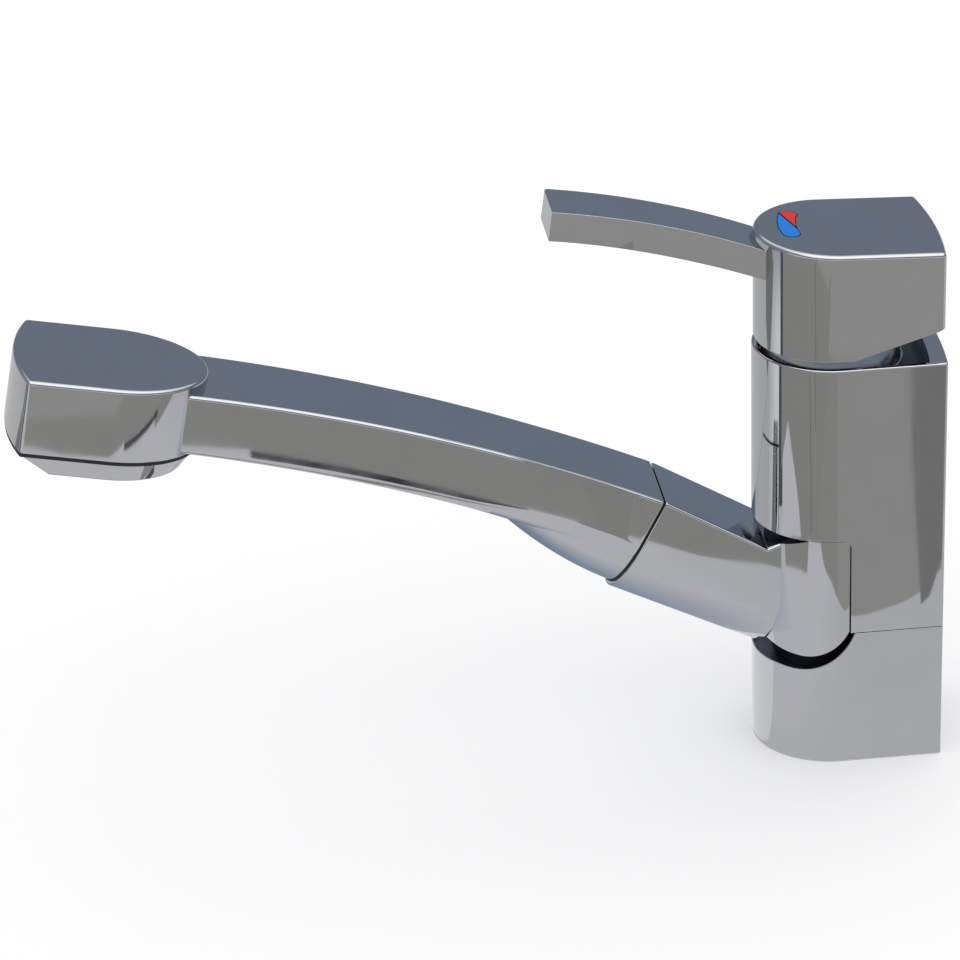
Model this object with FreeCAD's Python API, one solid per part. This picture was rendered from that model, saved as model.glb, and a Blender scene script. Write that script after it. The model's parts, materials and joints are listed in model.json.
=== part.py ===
import FreeCAD, Part
import math
import os

# Pull-out kitchen mixer tap. Millimetres, +Z up, origin on the column's vertical axis at the
# worktop. The spout points along -X and the column's square rear faces +X.

V = FreeCAD.Vector
Y_AXIS = V(0, 1, 0)
Z_AXIS = V(0, 0, 1)

# Column: a plan with a round front, parallel sides and a slightly bowed rear
col_half = 24.0          # half width, and radius of the round front
col_len = 31.4           # vertical axis to the rear corners
col_bow = 1.4            # bow of the rear face
corner_r = 0.8           # upright rear corners
base_h = 44.8            # height of the base casting
rim_z = 134.0            # top of the upper body
bore_r = 18.0            # bore in which the spout turns
rim_round = 0.6          # rounding of the upper body's rim
recess_wall = 1.6        # thin wall round the open top of the upper body
recess_rear = 26.0       # the open top ends here
recess_z = 128.5         # floor of the open top

# Base casting
web_h = 12.0             # floor web that carries the fixing threads
web_edge = 5.5           # the web starts this far behind the axis
passage_r = 15.5         # way through for the hoses
guide_wall = 2.0         # plastic bush in that way
guide_low = 0.5          # it starts this much above the web
seat_z = 22.0            # shoulder under the spout's lower glide ring
saddle_z = 31.8          # lowest point of the cut-out under the spout
saddle_r = 20.0          # radius of the cut-out's rising corner
saddle_mid = -15.0       # where the cut-out's flat floor ends
stud_x = 10.3            # threaded holes for the fixing studs
stud_pitch = 12.0
stud_hole_r = 3.4
gasket_inset = 2.0
gasket_w = 2.5
gasket_t = 1.6
core_wall = 3.2          # wall left behind the cavity that is cast behind the bore
core_deep = 6.7          # its depth from front to rear
core_half = 8.5
core_floor = 6.0
core_top = 124.0

# Screws that pull the base onto the upper body
screw_rear = 8.9         # distance of their axes from the column's rear corners
screw_side = 9.0         # and from its flat sides
screw_x = col_len - screw_rear
screw_y = col_half - screw_side
screw_hole_r = 2.7
screw_r = 2.05
screw_head_r = 4.2
screw_head_h = 5.0
screw_sink = 8.0
screw_grip = 10.0
screw_hex_r = 2.3        # hexagon socket of these screws
screw_hex_depth = 3.0

# Window in the upper body, where the spout comes out
window_x = 2.5
window_top = 76.7
window_r = 6.0

# Swivel sleeve of the spout and its glide rings
sleeve_gap = 0.3
sleeve_in_r = 14.2
glide_t = 1.0
glide_floor = 1.5
glide_h = 5.5
glide_in_r = 15.0
run_gap = 0.05           # running clearance of a shaft in its hole
end_gap = 0.1
sleeve_top = 84.0        # underside of the upper glide ring's floor

# Arm of the spout and the dock at its end
joint_x = -53.0          # top of the joint between dock and spray
joint_z = 90.1
dock_slope = 28.0        # degrees below the level, towards the column
arm_half = 15.0
side_h = 15.0            # depth of the flat side above the round underside
dock_h = 37.0            # depth of the dock's section
edge_r = 1.1             # rounding of the long top edges
root_x = -21.5           # here the sloping top turns level
root_top = 73.2
root_bottom = 34.4
root_side = 17.0
waist_x = -11.0          # inside the sleeve the arm's own shape ends here
dock_wall = 3.2
dock_floor_wall = 4.2
dock_way = 66.0          # length of the way from the joint into the sleeve
dock_floor_z = 41.5
relief_r = 25.3          # groove under the arm that clears the base's front wall
relief_top = 38.5
relief_bite = 0.5        # the groove reaches this far into the sleeve's wall
liner_t = 1.3
liner_depth = 24.0
liner_lip = 0.5
liner_set = 1.2
plug_gap = 0.3
plug_depth = 22.0
plug_root = 16.0
joint_gap = 0.8

# Spray: curved bar, belly and head in one casting
arm_r = 650.0            # radius of the bar's top line
arm_slope = 25.0         # its slope at the joint
bar_h_head = 20.8        # depth of the bar at the head
bar_h_joint = 23.0       # and at the joint
bar_flat_head = 5.0      # half width of its flat underside at the head
bar_flat_joint = 12.0    # and at the joint
bar_span = 14.4          # degrees of arc from the joint into the head
tube_short = 2.15        # degrees by which the water tube ends before that
bar_over = 1.5           # degrees by which it starts beyond the joint, before it is cut
bar_wall = 2.5           # wall of the hollow bar
belly_half = 14.3
belly_drop = 1.7         # the belly ends this much above the dock's underside
belly_rise = 0.004       # rise of its underside towards the head, straight part
belly_curve = 0.0045     # and the part that grows with the square
belly_places = (1.0, -14.0, -29.0, -44.0, -58.0)
belly_side_fall = 0.09   # slope of the belly's sides against the dock's axis
belly_cover = 3.0        # the belly reaches this far up into the bar
tube_depth = 13.0
tube_r = 5.0
tube_in_r = 3.8
socket_r = 7.0           # threaded socket for the pull-out hose
socket_len = 8.4
valve_r = 5.5            # non-return valve behind the socket
valve_len = 9.0
valve_wall = 1.2
valve_rib = 1.2
poppet_r = 3.7
washer_t = 1.6           # flat washer with a sieve, in a seat at the socket's bottom
washer_r = 6.5
sieve_r = 0.7
sieve_step = 2.1
tube_play = 1.5          # end play of the water tube
tube_root_play = 0.4     # degrees by which its hole in the bar begins before it

head_reach = 9.4         # the head's middle lies this far beyond the bar's end
head_stand = 3.33        # its top stands this much above the bar's top line
head_turn = 0.35         # and is turned by this much more than the bar's end
end_slope = math.radians(arm_slope - bar_span)
head_x = (joint_x - arm_r * (math.sin(math.radians(arm_slope)) - math.sin(end_slope))
          - head_reach * math.cos(end_slope) + head_stand * math.sin(end_slope))
head_z = (joint_z - arm_r * (math.cos(math.radians(arm_slope)) - math.cos(end_slope))
          + head_reach * math.sin(end_slope) + head_stand * math.cos(end_slope))
head_tilt = arm_slope - bar_span + head_turn
head_half = 23.5
head_nose = 28.5         # length of the oval end towards the arm
head_len = 26.2
head_bow = 4.1
head_h = 23.2
head_wall = 2.5
head_roof = 3.0
head_round = 1.6
seal_t = 1.0
seal_inset = 0.8
cover_h = 6.3
cover_inset = 1.0
cover_draft = 3.5        # taper of its oval end
cover_side_draft = 1.6   # of its flat sides
cover_tip_draft = 8.6    # and of the end away from the arm
fit_gap = 0.3
chamber_h = 18.0
chamber_way_r = 8.2      # way from the inlet down to the aerator
chamber_way_roof = 5.0
screw_way = 9.0          # depth of the screw holes in the chamber
seal_w = 3.0
aerator_r = 12.0
aerator_in_r = 10.2
aerator_out = 1.0        # it stands this far out of the cover
aerator_seat = 18.2      # depth of its seat below the head's top
aerator_hole_r = 0.7
aerator_lip = 1.4        # inner lip at the aerator's mouth
aerator_lip_t = 1.2
jet_plate = 2.4          # thickness of the jet former's upper plate
aerator_seal_t = 0.8
aerator_seal_w = 2.0
screen_t = 0.6           # metal screen on top of the jet former
screen_hole_r = 0.9
jet_step = 2.4           # distance between the rings of jets, the first with six
screen_step = 3.2
inlet_depth = 16.3
cover_screw_x = -14.0
cover_screw_y = 14.5
cover_screw_r = 1.5
cover_screw_gap = 0.2
cover_screw_sink = 2.2
cover_screw_end = 7.0    # the screws reach this far into the chamber
cross_half = 2.4         # cross recess of these screws
cross_w = 0.4

# Ceramic cartridge of 35 mm and the parts that hold it
floor_z = 96.0
port_r = 4.5
port_depth = 8.0
port_way_r = 3.2
inlet_x = -1.5
inlet_y = 8.5
outlet_x = 8.5
cart_r = 17.5
cart_gap = 0.25
cart_shoulder = 122.0
cart_neck_r = 13.2
cart_neck_top = 130.0
cart_base_t = 4.0
cart_wall = 2.6
disc_t = 3.5
disc_r = 9.8
disc_shift = 2.2         # the moving disc stands this far back when the tap is closed
disc_port_step = 0.75    # the discs' ports lie this much nearer to the axis
disc_chamber_wall = 3.0
disc_chamber_roof = 1.5
carrier_t = 4.0
rotor_neck_r = 10.2
rotor_low = 111.5
rotor_flange_t = 4.5
rotor_top = 131.5
pivot_z = 125.0
pin_r = 2.0
pin_set = 0.6            # the pin ends this far inside the rotor's neck
stem_half = 4.0
stem_gap = 0.2
stem_top = 156.0
ball_r = 3.2
ball_z = 110.5
ball_neck_r = 2.4
ball_neck_len = 6.0
stem_chamfer = 0.8
slot_half = 8.0
seal_r = 4.3
seal_wire = 0.9
nut_r = 18.5
nut_mouth_gap = 0.1
nut_under = 0.5          # the nut's thread runs this far below the cartridge's shoulder
nut_h = 6.0
nut_hex_h = 4.5
nut_hex_r = 17.4
nut_bore_gap = 0.3
dome_r = 22.0
dome_t = 1.2
dome_hole_r = 12.0
dome_flange = 0.8        # thickness of its foot
dome_foot_lip = 0.4      # the foot stands this far out of the dome

# Handle: cap and lever in one casting
cap_inset = 0.5
cap_lift = 2.5           # gap between rim and cap
cap_top = 170.7          # height of the cap's top at the axis
cap_fall = 2.44          # degrees by which the top falls to the rear
cap_wall = 2.3
cap_roof = 4.0
cap_round = 1.2
cut_x = 2.8              # from here the lower edge rises to the rear
cut_rise = 16.8
boss_r = 8.0
boss_z = 146.8
grub_r = 2.5
grub_z = 151.5
grub_len = 5.0
grub_hex_r = 1.4
grub_hex_depth = 2.5
plug_t = 2.0
socket_end_gap = 0.5     # room above the stem in the cap
lever_half = 9.0
lever_round = 1.0
lever_tip_x = -85.4
lever_tip_z = 185.8
lever_root_z = 168.1
lever_mid_x = -52.0
lever_mid_z = 178.9
lever_t = 9.2
lever_root_x = -20.5
lever_root_turn = 24.0   # slopes across which the lever's thickness is measured
lever_mid_turn = 15.5
lever_tip_turn = 8.0
lever_root_lift = 0.6
lever_nose = 0.8         # bulge of the lever's end
mark_t = 0.8
mark_x = -12.4
mark_y = 4.6
mark_len = 19.5
mark_w = 6.6


def cylinder(radius, z0, z1, x=0.0, y=0.0):
    return Part.makeCylinder(radius, z1 - z0, V(x, y, z0))


def tube(r_in, r_out, z0, z1, x=0.0, y=0.0):
    return cylinder(r_out, z0, z1, x, y).cut(cylinder(r_in, z0 - 1, z1 + 1, x, y))


def block(x0, x1, y0, y1, z0, z1):
    return Part.makeBox(x1 - x0, y1 - y0, z1 - z0, V(x0, y0, z0))


def hexagon(radius, z0, height):
    """Upright prism on a hexagon whose corners lie at this radius."""
    corners = [V(radius * math.cos(math.radians(a)), radius * math.sin(math.radians(a)), z0)
               for a in range(0, 361, 60)]
    return Part.Face(Part.makePolygon(corners)).extrude(V(0, 0, height))


def turned(points):
    """Solid of revolution about Z from (radius, height) points."""
    wire = Part.makePolygon([V(r, 0, z) for r, z in points + points[:1]])
    return Part.Face(wire).revolve(V(0, 0, 0), Z_AXIS, 360)


def plan(half, length, bow, z, nose=None):
    """Plan with a round or oval front towards -X, parallel sides and a bowed rear."""
    nose = nose or half
    if nose > half:
        oval = Part.Ellipse(V(-nose, 0, z), V(0, half, z), V(0, 0, z))
        front = Part.ArcOfEllipse(oval, -math.pi / 2, math.pi / 2).toShape()
        ends = [front.Vertexes[0].Point, front.Vertexes[-1].Point]
    else:
        front = Part.Arc(V(0, half, z), V(-nose, 0, z), V(0, -half, z)).toShape()
        ends = [V(0, half, z), V(0, -half, z)]
    left, right = sorted(ends, key=lambda p: -p.y)
    rear = Part.Arc(V(length, -half, z), V(length + bow, 0, z), V(length, half, z)).toShape()
    side_a = Part.makeLine(right, V(length, -half, z))
    side_b = Part.makeLine(V(length, half, z), left)
    return Part.Wire(Part.__sortEdges__([front, side_a, rear, side_b]))


def plan_solid(half, length, bow, z0, z1, nose=None, upright_r=0.0):
    solid = Part.Face(plan(half, length, bow, z0, nose)).extrude(V(0, 0, z1 - z0))
    if upright_r > 0:
        corners = [e for e in solid.Edges
                   if abs(e.BoundBox.XMin - length) < 0.01 and e.BoundBox.XLength < 0.01]
        solid = solid.makeFillet(upright_r, corners)
    return solid


def column(inset, z0, z1, upright_r=0.0):
    return plan_solid(col_half - inset, col_len - inset, col_bow, z0, z1, None, upright_r)


def side_cut(edges, half_y):
    """Extrudes a closed outline, drawn in the XZ plane, to both sides."""
    face = Part.Face(Part.Wire(Part.__sortEdges__(edges)))
    face.translate(V(0, -half_y, 0))
    return face.extrude(V(0, 2 * half_y, 0))


def side_polygon(points, half_y):
    corners = [V(x, 0, z) for x, z in points]
    loop = corners[1:] + corners[:1]
    return side_cut([Part.makeLine(a, b) for a, b in zip(corners, loop)], half_y)


def top_corner(half, top, radius):
    """Quarter arc from the flat top down to the side, in a YZ section."""
    bend = radius * (1 - math.sqrt(0.5))
    return V(0, half - radius, top), V(0, half - bend, top - bend), V(0, half, top - radius)


def mirrored(point):
    return V(point.x, -point.y, point.z)


def section(x, half, top, side_end, bottom, radius=0.0):
    """U-shaped section across X: flat top, upright sides, half an ellipse below."""
    low = V(0, 0, bottom)
    side = V(0, half, side_end)
    centre = V(0, 0, side_end)
    if side_end - bottom > half:
        under = Part.ArcOfEllipse(Part.Ellipse(low, side, centre), -math.pi / 2, math.pi / 2)
    else:
        under = Part.ArcOfEllipse(Part.Ellipse(side, low, centre), 0, math.pi)
    edges = [under.toShape()]
    if radius > 0:
        start, middle, end = top_corner(half, top, radius)
        edges.append(Part.Arc(start, middle, end).toShape())
        edges.append(Part.Arc(mirrored(start), mirrored(middle), mirrored(end)).toShape())
    else:
        start = end = V(0, half, top)
    edges.append(Part.makeLine(end, side))
    edges.append(Part.makeLine(start, mirrored(start)))
    edges.append(Part.makeLine(mirrored(end), mirrored(side)))
    wire = Part.Wire(Part.__sortEdges__(edges))
    wire.translate(V(x, 0, 0))
    return wire


def bar_section(flat, depth, inset=0.0):
    """Section of the bar, hung below its top line: round lower corners and a flat underside."""
    half = arm_half - inset
    start, middle, end = top_corner(half, -inset, edge_r)
    low_side = V(0, half, -side_h)
    flat = flat * half / arm_half
    low = V(0, flat, inset - depth)
    drop = depth - inset - side_h
    bend = math.sqrt(0.5)
    low_mid = V(0, flat + (half - flat) * bend, -side_h - drop * bend)
    edges = [Part.makeLine(start, mirrored(start)), Part.makeLine(low, mirrored(low))]
    for flip in (lambda p: p, mirrored):
        edges.append(Part.Arc(flip(start), flip(middle), flip(end)).toShape())
        edges.append(Part.makeLine(flip(end), flip(low_side)))
        edges.append(Part.Arc(flip(low_side), flip(low_mid), flip(low)).toShape())
    return Part.Wire(Part.__sortEdges__(edges))


def in_dock(shape):
    """Moves a shape from the dock's frame, where X points into the dock, to its place."""
    shape.rotate(V(0, 0, 0), Y_AXIS, dock_slope)
    shape.translate(V(joint_x, 0, joint_z))
    return shape


def in_head(shape):
    """Moves a shape from the head's frame, where Z is square to the head's top, to its place."""
    shape.rotate(V(0, 0, 0), Y_AXIS, head_tilt)
    shape.translate(V(head_x, 0, head_z))
    return shape


def on_arc(shape, back):
    """Hangs a shape on the bar's top line, this many degrees of arc before the joint."""
    centre = V(joint_x - arm_r * math.sin(math.radians(arm_slope)), 0,
               joint_z - arm_r * math.cos(math.radians(arm_slope)))
    shape.translate(V(centre.x, 0, centre.z + arm_r))
    shape.rotate(centre, Y_AXIS, arm_slope - back)
    return shape


def head_plan(inset, z0, z1, upright_r=0.0):
    """Solid with the head's outline; the plan is turned so that its oval end faces the arm."""
    solid = plan_solid(head_half - inset, head_len - inset, head_bow, z0, z1,
                       head_nose - inset, upright_r)
    solid.rotate(V(0, 0, 0), Z_AXIS, 180)
    return solid


def save(shape, node):
    shape.exportStep("parts/" + node + ".step")
    box = shape.BoundBox
    print("%-18s solids %d valid %s volume %9.1f  x %.1f %.1f  y %.1f %.1f  z %.1f %.1f" % (
        node, len(shape.Solids), shape.isValid(), shape.Volume,
        box.XMin, box.XMax, box.YMin, box.YMax, box.ZMin, box.ZMax))


def top_edges(solid, z, slack=0.3):
    return [e for e in solid.Edges if e.BoundBox.ZMin > z - slack and e.Length > 1.0]


# Column

def make_base():
    body = column(0, 0, base_h, corner_r)
    low_way = cylinder(passage_r, -1, web_h + 1)
    low_way = low_way.common(block(-passage_r, web_edge, -passage_r, passage_r, -1, web_h + 1))
    body = body.cut(low_way)
    body = body.cut(cylinder(passage_r, web_h, seat_z + 1))
    body = body.cut(cylinder(bore_r, seat_z, base_h + 1))
    rise = base_h - saddle_z
    end_x = saddle_mid + math.sqrt(saddle_r ** 2 - (saddle_r - rise) ** 2)
    half_turn = 0.5 * math.asin((end_x - saddle_mid) / saddle_r)
    arc_mid = V(saddle_mid + saddle_r * math.sin(half_turn), 0,
                saddle_z + saddle_r * (1 - math.cos(half_turn)))
    front = -col_half - 2
    over = base_h + 1
    body = body.cut(side_cut([
        Part.makeLine(V(front, 0, saddle_z), V(saddle_mid, 0, saddle_z)),
        Part.Arc(V(saddle_mid, 0, saddle_z), arc_mid, V(end_x, 0, base_h)).toShape(),
        Part.makeLine(V(end_x, 0, base_h), V(end_x, 0, over)),
        Part.makeLine(V(end_x, 0, over), V(front, 0, over)),
        Part.makeLine(V(front, 0, over), V(front, 0, saddle_z))], col_half + 1))
    core_x1 = col_len - core_wall
    core_x0 = core_x1 - core_deep
    body = body.cut(block(core_x0, core_x1, -core_half, core_half, core_floor, base_h + 1))
    for side in (-1, 1):
        body = body.cut(cylinder(screw_hole_r, -1, base_h + 1, screw_x, side * screw_y))
        body = body.cut(cylinder(screw_head_r + fit_gap, -1, screw_sink, screw_x, side * screw_y))
        body = body.cut(cylinder(stud_hole_r, -1, web_h + 1, stud_x, side * stud_pitch / 2))
    groove = column(gasket_inset, -1, gasket_t).cut(column(gasket_inset + gasket_w, -2, gasket_t + 1))
    return body.cut(groove)


def make_base_gasket():
    outer = column(gasket_inset, 0, gasket_t)
    return outer.cut(column(gasket_inset + gasket_w, -1, gasket_t + 1))


def make_body_screws():
    """Two socket-head screws, pushed up from the underside of the base."""
    screws = []
    for side in (-1, 1):
        y = side * screw_y
        head = cylinder(screw_head_r, screw_sink - screw_head_h, screw_sink, screw_x, y)
        shank = cylinder(screw_r, screw_sink - 1, base_h + screw_grip, screw_x, y)
        socket = hexagon(screw_hex_r, screw_sink - screw_head_h - 1, screw_hex_depth + 1)
        socket.translate(V(screw_x, y, 0))
        screws.append(head.fuse(shank).removeSplitter().cut(socket))
    return Part.makeCompound(screws)


def make_hose_guide():
    """Plastic bush that keeps the hoses off the casting's edge."""
    return tube(passage_r - guide_wall, passage_r, web_h + guide_low, seat_z)


def make_upper_body():
    body = column(0, base_h, rim_z, corner_r)
    body = body.makeFillet(rim_round, top_edges(body, rim_z))
    ceiling = sleeve_top + glide_floor
    body = body.cut(cylinder(bore_r, base_h - 1, ceiling))
    bend = window_r * (1 - math.sqrt(0.5))
    front = -col_half - 2
    below = base_h - 1
    body = body.cut(side_cut([
        Part.makeLine(V(front, 0, below), V(window_x, 0, below)),
        Part.makeLine(V(window_x, 0, below), V(window_x, 0, window_top - window_r)),
        Part.Arc(V(window_x, 0, window_top - window_r), V(window_x - bend, 0, window_top - bend),
                 V(window_x - window_r, 0, window_top)).toShape(),
        Part.makeLine(V(window_x - window_r, 0, window_top), V(front, 0, window_top)),
        Part.makeLine(V(front, 0, window_top), V(front, 0, below))], col_half + 1))
    body = body.cut(cylinder(cart_r + cart_gap, floor_z, rim_z + 1))
    body = body.cut(cylinder(nut_r + nut_mouth_gap, cart_shoulder - nut_under, rim_z + 1))
    body = body.cut(plan_solid(col_half - recess_wall, recess_rear, col_bow, recess_z, rim_z + 1))
    for x, y in port_places():
        body = body.cut(cylinder(port_r, ceiling - 1, ceiling + port_depth, x, y))
        body = body.cut(cylinder(port_way_r, ceiling, floor_z + 1, x, y))
    core_x1 = col_len - core_wall
    core_x0 = core_x1 - core_deep
    body = body.cut(block(core_x0, core_x1, -core_half, core_half, base_h - 1, core_top))
    for side in (-1, 1):
        body = body.cut(cylinder(screw_r + run_gap, base_h - 1, base_h + screw_grip + 2,
                                 screw_x, side * screw_y))
    return body


def make_lower_glide():
    z0 = seat_z + glide_floor
    floor = tube(glide_in_r, bore_r, seat_z, z0)
    return floor.fuse(tube(bore_r - glide_t, bore_r, z0, z0 + glide_h)).removeSplitter()


def make_upper_glide():
    floor = tube(glide_in_r, bore_r, sleeve_top, sleeve_top + glide_floor)
    collar = tube(bore_r - glide_t, bore_r, sleeve_top - glide_h, sleeve_top)
    return floor.fuse(collar).removeSplitter()


# Cartridge

def port_places():
    return ((inlet_x, -inlet_y), (inlet_x, inlet_y), (outlet_x, 0))


def make_cartridge_base():
    base = cylinder(cart_r, floor_z, floor_z + cart_base_t)
    for x, y in port_places():
        base = base.cut(cylinder(port_way_r, floor_z - 1, floor_z + cart_base_t + 1, x, y))
        base = base.cut(cylinder(seal_r + seal_wire, floor_z - 1, floor_z + 2 * seal_wire, x, y))
    return base


def make_cartridge_seals():
    rings = [Part.makeTorus(seal_r, seal_wire, V(x, y, floor_z + seal_wire)) for x, y in port_places()]
    return Part.makeCompound(rings)


def make_cartridge_housing():
    z0 = floor_z + cart_base_t
    body = cylinder(cart_r, z0, cart_shoulder)
    body = body.fuse(cylinder(cart_neck_r, cart_shoulder - 1, cart_neck_top)).removeSplitter()
    rotor_top_z = rotor_low + rotor_flange_t
    body = body.cut(cylinder(cart_r - cart_wall, z0 - 1, rotor_top_z + fit_gap))
    return body.cut(cylinder(rotor_neck_r + run_gap, z0, cart_neck_top + 1))


def make_fixed_disc():
    z0 = floor_z + cart_base_t
    disc = cylinder(cart_r - cart_wall - run_gap, z0, z0 + disc_t)
    for x, y in port_places():
        near_x = disc_port_step * x
        near_y = disc_port_step * y
        disc = disc.cut(cylinder(port_way_r, z0 - 1, z0 + disc_t + 1, near_x, near_y))
    return disc


def make_moving_disc():
    """Ceramic disc with a blind mixing chamber on its sliding face."""
    z0 = floor_z + cart_base_t + disc_t
    disc = cylinder(disc_r, z0, z0 + disc_t, disc_shift, 0)
    return disc.cut(cylinder(disc_r - disc_chamber_wall, z0 - 1, z0 + disc_t - disc_chamber_roof,
                             disc_shift, 0))


def make_disc_carrier():
    z0 = floor_z + cart_base_t + 2 * disc_t
    body = cylinder(disc_r, z0, z0 + carrier_t, disc_shift, 0)
    socket = Part.makeSphere(ball_r + fit_gap, V(0, 0, ball_z))
    throat = cylinder(ball_r + fit_gap, ball_z, z0 + carrier_t + 1)
    return body.cut(socket).cut(throat)


def make_rotor():
    """Turning guide that carries the lever's pin; the stem swings in its slot."""
    z0 = rotor_low
    flange = cylinder(cart_r - cart_wall - fit_gap, z0, z0 + rotor_flange_t)
    body = flange.fuse(cylinder(rotor_neck_r, z0, rotor_top)).removeSplitter()
    wide = stem_half + stem_gap
    body = body.cut(block(-slot_half, slot_half, -wide, wide, z0 - 1, rotor_top + 1))
    pin_hole = Part.makeCylinder(pin_r, 4 * rotor_neck_r, V(0, -2 * rotor_neck_r, pivot_z), Y_AXIS)
    return body.cut(pin_hole)


def make_lever_pin():
    length = 2 * (rotor_neck_r - pin_set)
    return Part.makeCylinder(pin_r, length, V(0, -length / 2, pivot_z), Y_AXIS)


def make_stem():
    shank_z = ball_z + ball_neck_len
    shank = block(-stem_half, stem_half, -stem_half, stem_half, shank_z, stem_top)
    shank = shank.makeChamfer(stem_chamfer, top_edges(shank, stem_top))
    neck = cylinder(ball_neck_r, ball_z, shank_z + 1)
    ball = Part.makeSphere(ball_r, V(0, 0, ball_z))
    stem = shank.fuse([neck, ball]).removeSplitter()
    hole = Part.makeCylinder(pin_r + run_gap, 4 * stem_half, V(0, -2 * stem_half, pivot_z), Y_AXIS)
    return stem.cut(hole)


def make_cartridge_nut():
    z1 = cart_shoulder + nut_h
    ring = cylinder(nut_r, cart_shoulder, z1)
    nut = ring.fuse(hexagon(nut_hex_r, z1, nut_hex_h)).removeSplitter()
    return nut.cut(cylinder(cart_neck_r + nut_bore_gap, cart_shoulder - 1, z1 + nut_hex_h + 1))


def make_dome():
    """Spherical cover about the lever's pivot, so that the cap never touches it."""
    shell = Part.makeSphere(dome_r, V(0, 0, pivot_z)).cut(Part.makeSphere(dome_r - dome_t, V(0, 0, pivot_z)))
    shell = shell.common(cylinder(2 * dome_r, recess_z, pivot_z + 2 * dome_r))
    shell = shell.cut(cylinder(dome_hole_r, recess_z, pivot_z + 2 * dome_r))
    foot_r = math.sqrt(dome_r ** 2 - (recess_z - pivot_z) ** 2)
    flange = tube(nut_r + nut_mouth_gap, foot_r + dome_foot_lip, recess_z, recess_z + dome_flange)
    return shell.fuse(flange).removeSplitter()


# Handle

def cap_level(x, drop=0.0):
    return cap_top - drop - x * math.tan(math.radians(cap_fall))


def cap_side(drop, lower):
    """Side outline of the cap between its stepped lower edge and its falling top."""
    front = -2 * col_half
    rear = 2 * col_len
    rise = (rear - cut_x) * math.tan(math.radians(cut_rise))
    floor = rim_z + cap_lift
    return side_polygon([(front, floor - lower), (cut_x, floor - lower), (rear, floor - lower + rise),
                         (rear, cap_level(rear, drop)), (front, cap_level(front, drop))], 2 * col_half)


def make_lever():
    def low(x, z, turn):
        return V(x + lever_t * math.sin(math.radians(turn)), 0, z - lever_t * math.cos(math.radians(turn)))

    root = V(lever_root_x, 0, lever_root_z)
    mid = V(lever_mid_x, 0, lever_mid_z)
    tip = V(lever_tip_x, 0, lever_tip_z)
    root_t = lever_t / math.cos(math.radians(lever_root_turn)) - lever_root_lift
    root_low = V(lever_root_x, 0, lever_root_z - root_t)
    mid_low = low(lever_mid_x, lever_mid_z, -lever_mid_turn)
    tip_low = low(lever_tip_x, lever_tip_z, -lever_tip_turn)
    nose = V((tip.x + tip_low.x) / 2 - lever_nose, 0, (tip.z + tip_low.z) / 2)
    lever = side_cut([
        Part.Arc(root, mid, tip).toShape(),
        Part.Arc(tip, nose, tip_low).toShape(),
        Part.Arc(tip_low, mid_low, root_low).toShape(),
        Part.makeLine(root_low, root)], lever_half)
    free = [e for e in lever.Edges if e.BoundBox.XMin < lever_root_x - 1]
    return lever.makeFillet(lever_round, free)


def mark_outline(z, grow=0.0):
    """Long tab with rounded ends and one hollow side."""
    w = mark_w / 2 + grow
    h = mark_len / 2 + grow
    tail = 0.32 * mark_len
    corner = [V(mark_x - 0.7 * w, mark_y + h * 0.9, z), V(mark_x + w, mark_y + h * 0.82, z),
              V(mark_x + 0.75 * w, mark_y - h * 0.88, z), V(mark_x - w, mark_y - h * 0.82, z)]
    return Part.Wire(Part.__sortEdges__([
        Part.Arc(corner[0], V(mark_x + 0.1 * w, mark_y + h, z), corner[1]).toShape(),
        Part.Arc(corner[1], V(mark_x + 0.45 * w, mark_y - h + 1.5 * tail, z), corner[2]).toShape(),
        Part.Arc(corner[2], V(mark_x - 0.1 * w, mark_y - h, z), corner[3]).toShape(),
        Part.Arc(corner[3], V(mark_x - 1.1 * w, mark_y, z), corner[0]).toShape()]))


def mark_solid(grow):
    """The mark, as deep as its pocket and flush with the cap's sloping top."""
    tall = Part.Face(mark_outline(cap_top - cap_roof, grow)).extrude(V(0, 0, 2 * cap_roof))
    front = -2 * col_half
    slab = side_polygon([(front, cap_level(front, mark_t)), (0, cap_level(0, mark_t)),
                         (0, cap_level(0)), (front, cap_level(front))], 2 * col_half)
    return tall.common(slab)


def mark_half(sign):
    """Red or blue half of the mark, parted by a slanting line."""
    reach = 2 * mark_len
    a = V(mark_x - mark_w / 2, mark_y + 0.46 * mark_len, 0)
    b = V(mark_x + mark_w / 2, mark_y - 0.24 * mark_len, 0)
    along = (b - a).normalize()
    across = V(along.y, -along.x, 0) * sign
    mid = (a + b) * 0.5
    corners = [mid - along * reach, mid + along * reach,
               mid + along * reach - across * reach, mid - along * reach - across * reach]
    keep = Part.Face(Part.makePolygon(corners + corners[:1])).extrude(V(0, 0, 2 * cap_top))
    return mark_solid(0.0).common(keep)


def make_handle():
    cap = column(cap_inset, rim_z, 2 * cap_top, corner_r).common(cap_side(0, 0))
    rim = [e for e in cap.Edges
           if e.BoundBox.ZMin > cap_level(2 * col_len) and e.Length > 1.0]
    cap = cap.makeFillet(cap_round, rim)
    body = cap.fuse(make_lever()).removeSplitter()
    hollow = column(cap_inset + cap_wall, 0, 2 * cap_top).common(cap_side(cap_roof, rim_z))
    body = body.cut(hollow)
    boss = cylinder(boss_r, boss_z, cap_level(0, cap_roof) + 1)
    body = body.fuse(boss).removeSplitter()
    fit = stem_half + run_gap
    body = body.cut(block(-fit, fit, -fit, fit, boss_z - 1, stem_top + socket_end_gap))
    way = Part.makeCylinder(grub_r, 2 * col_len, V(stem_half, 0, grub_z), V(1, 0, 0))
    return body.cut(way).cut(mark_solid(0.0))


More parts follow.
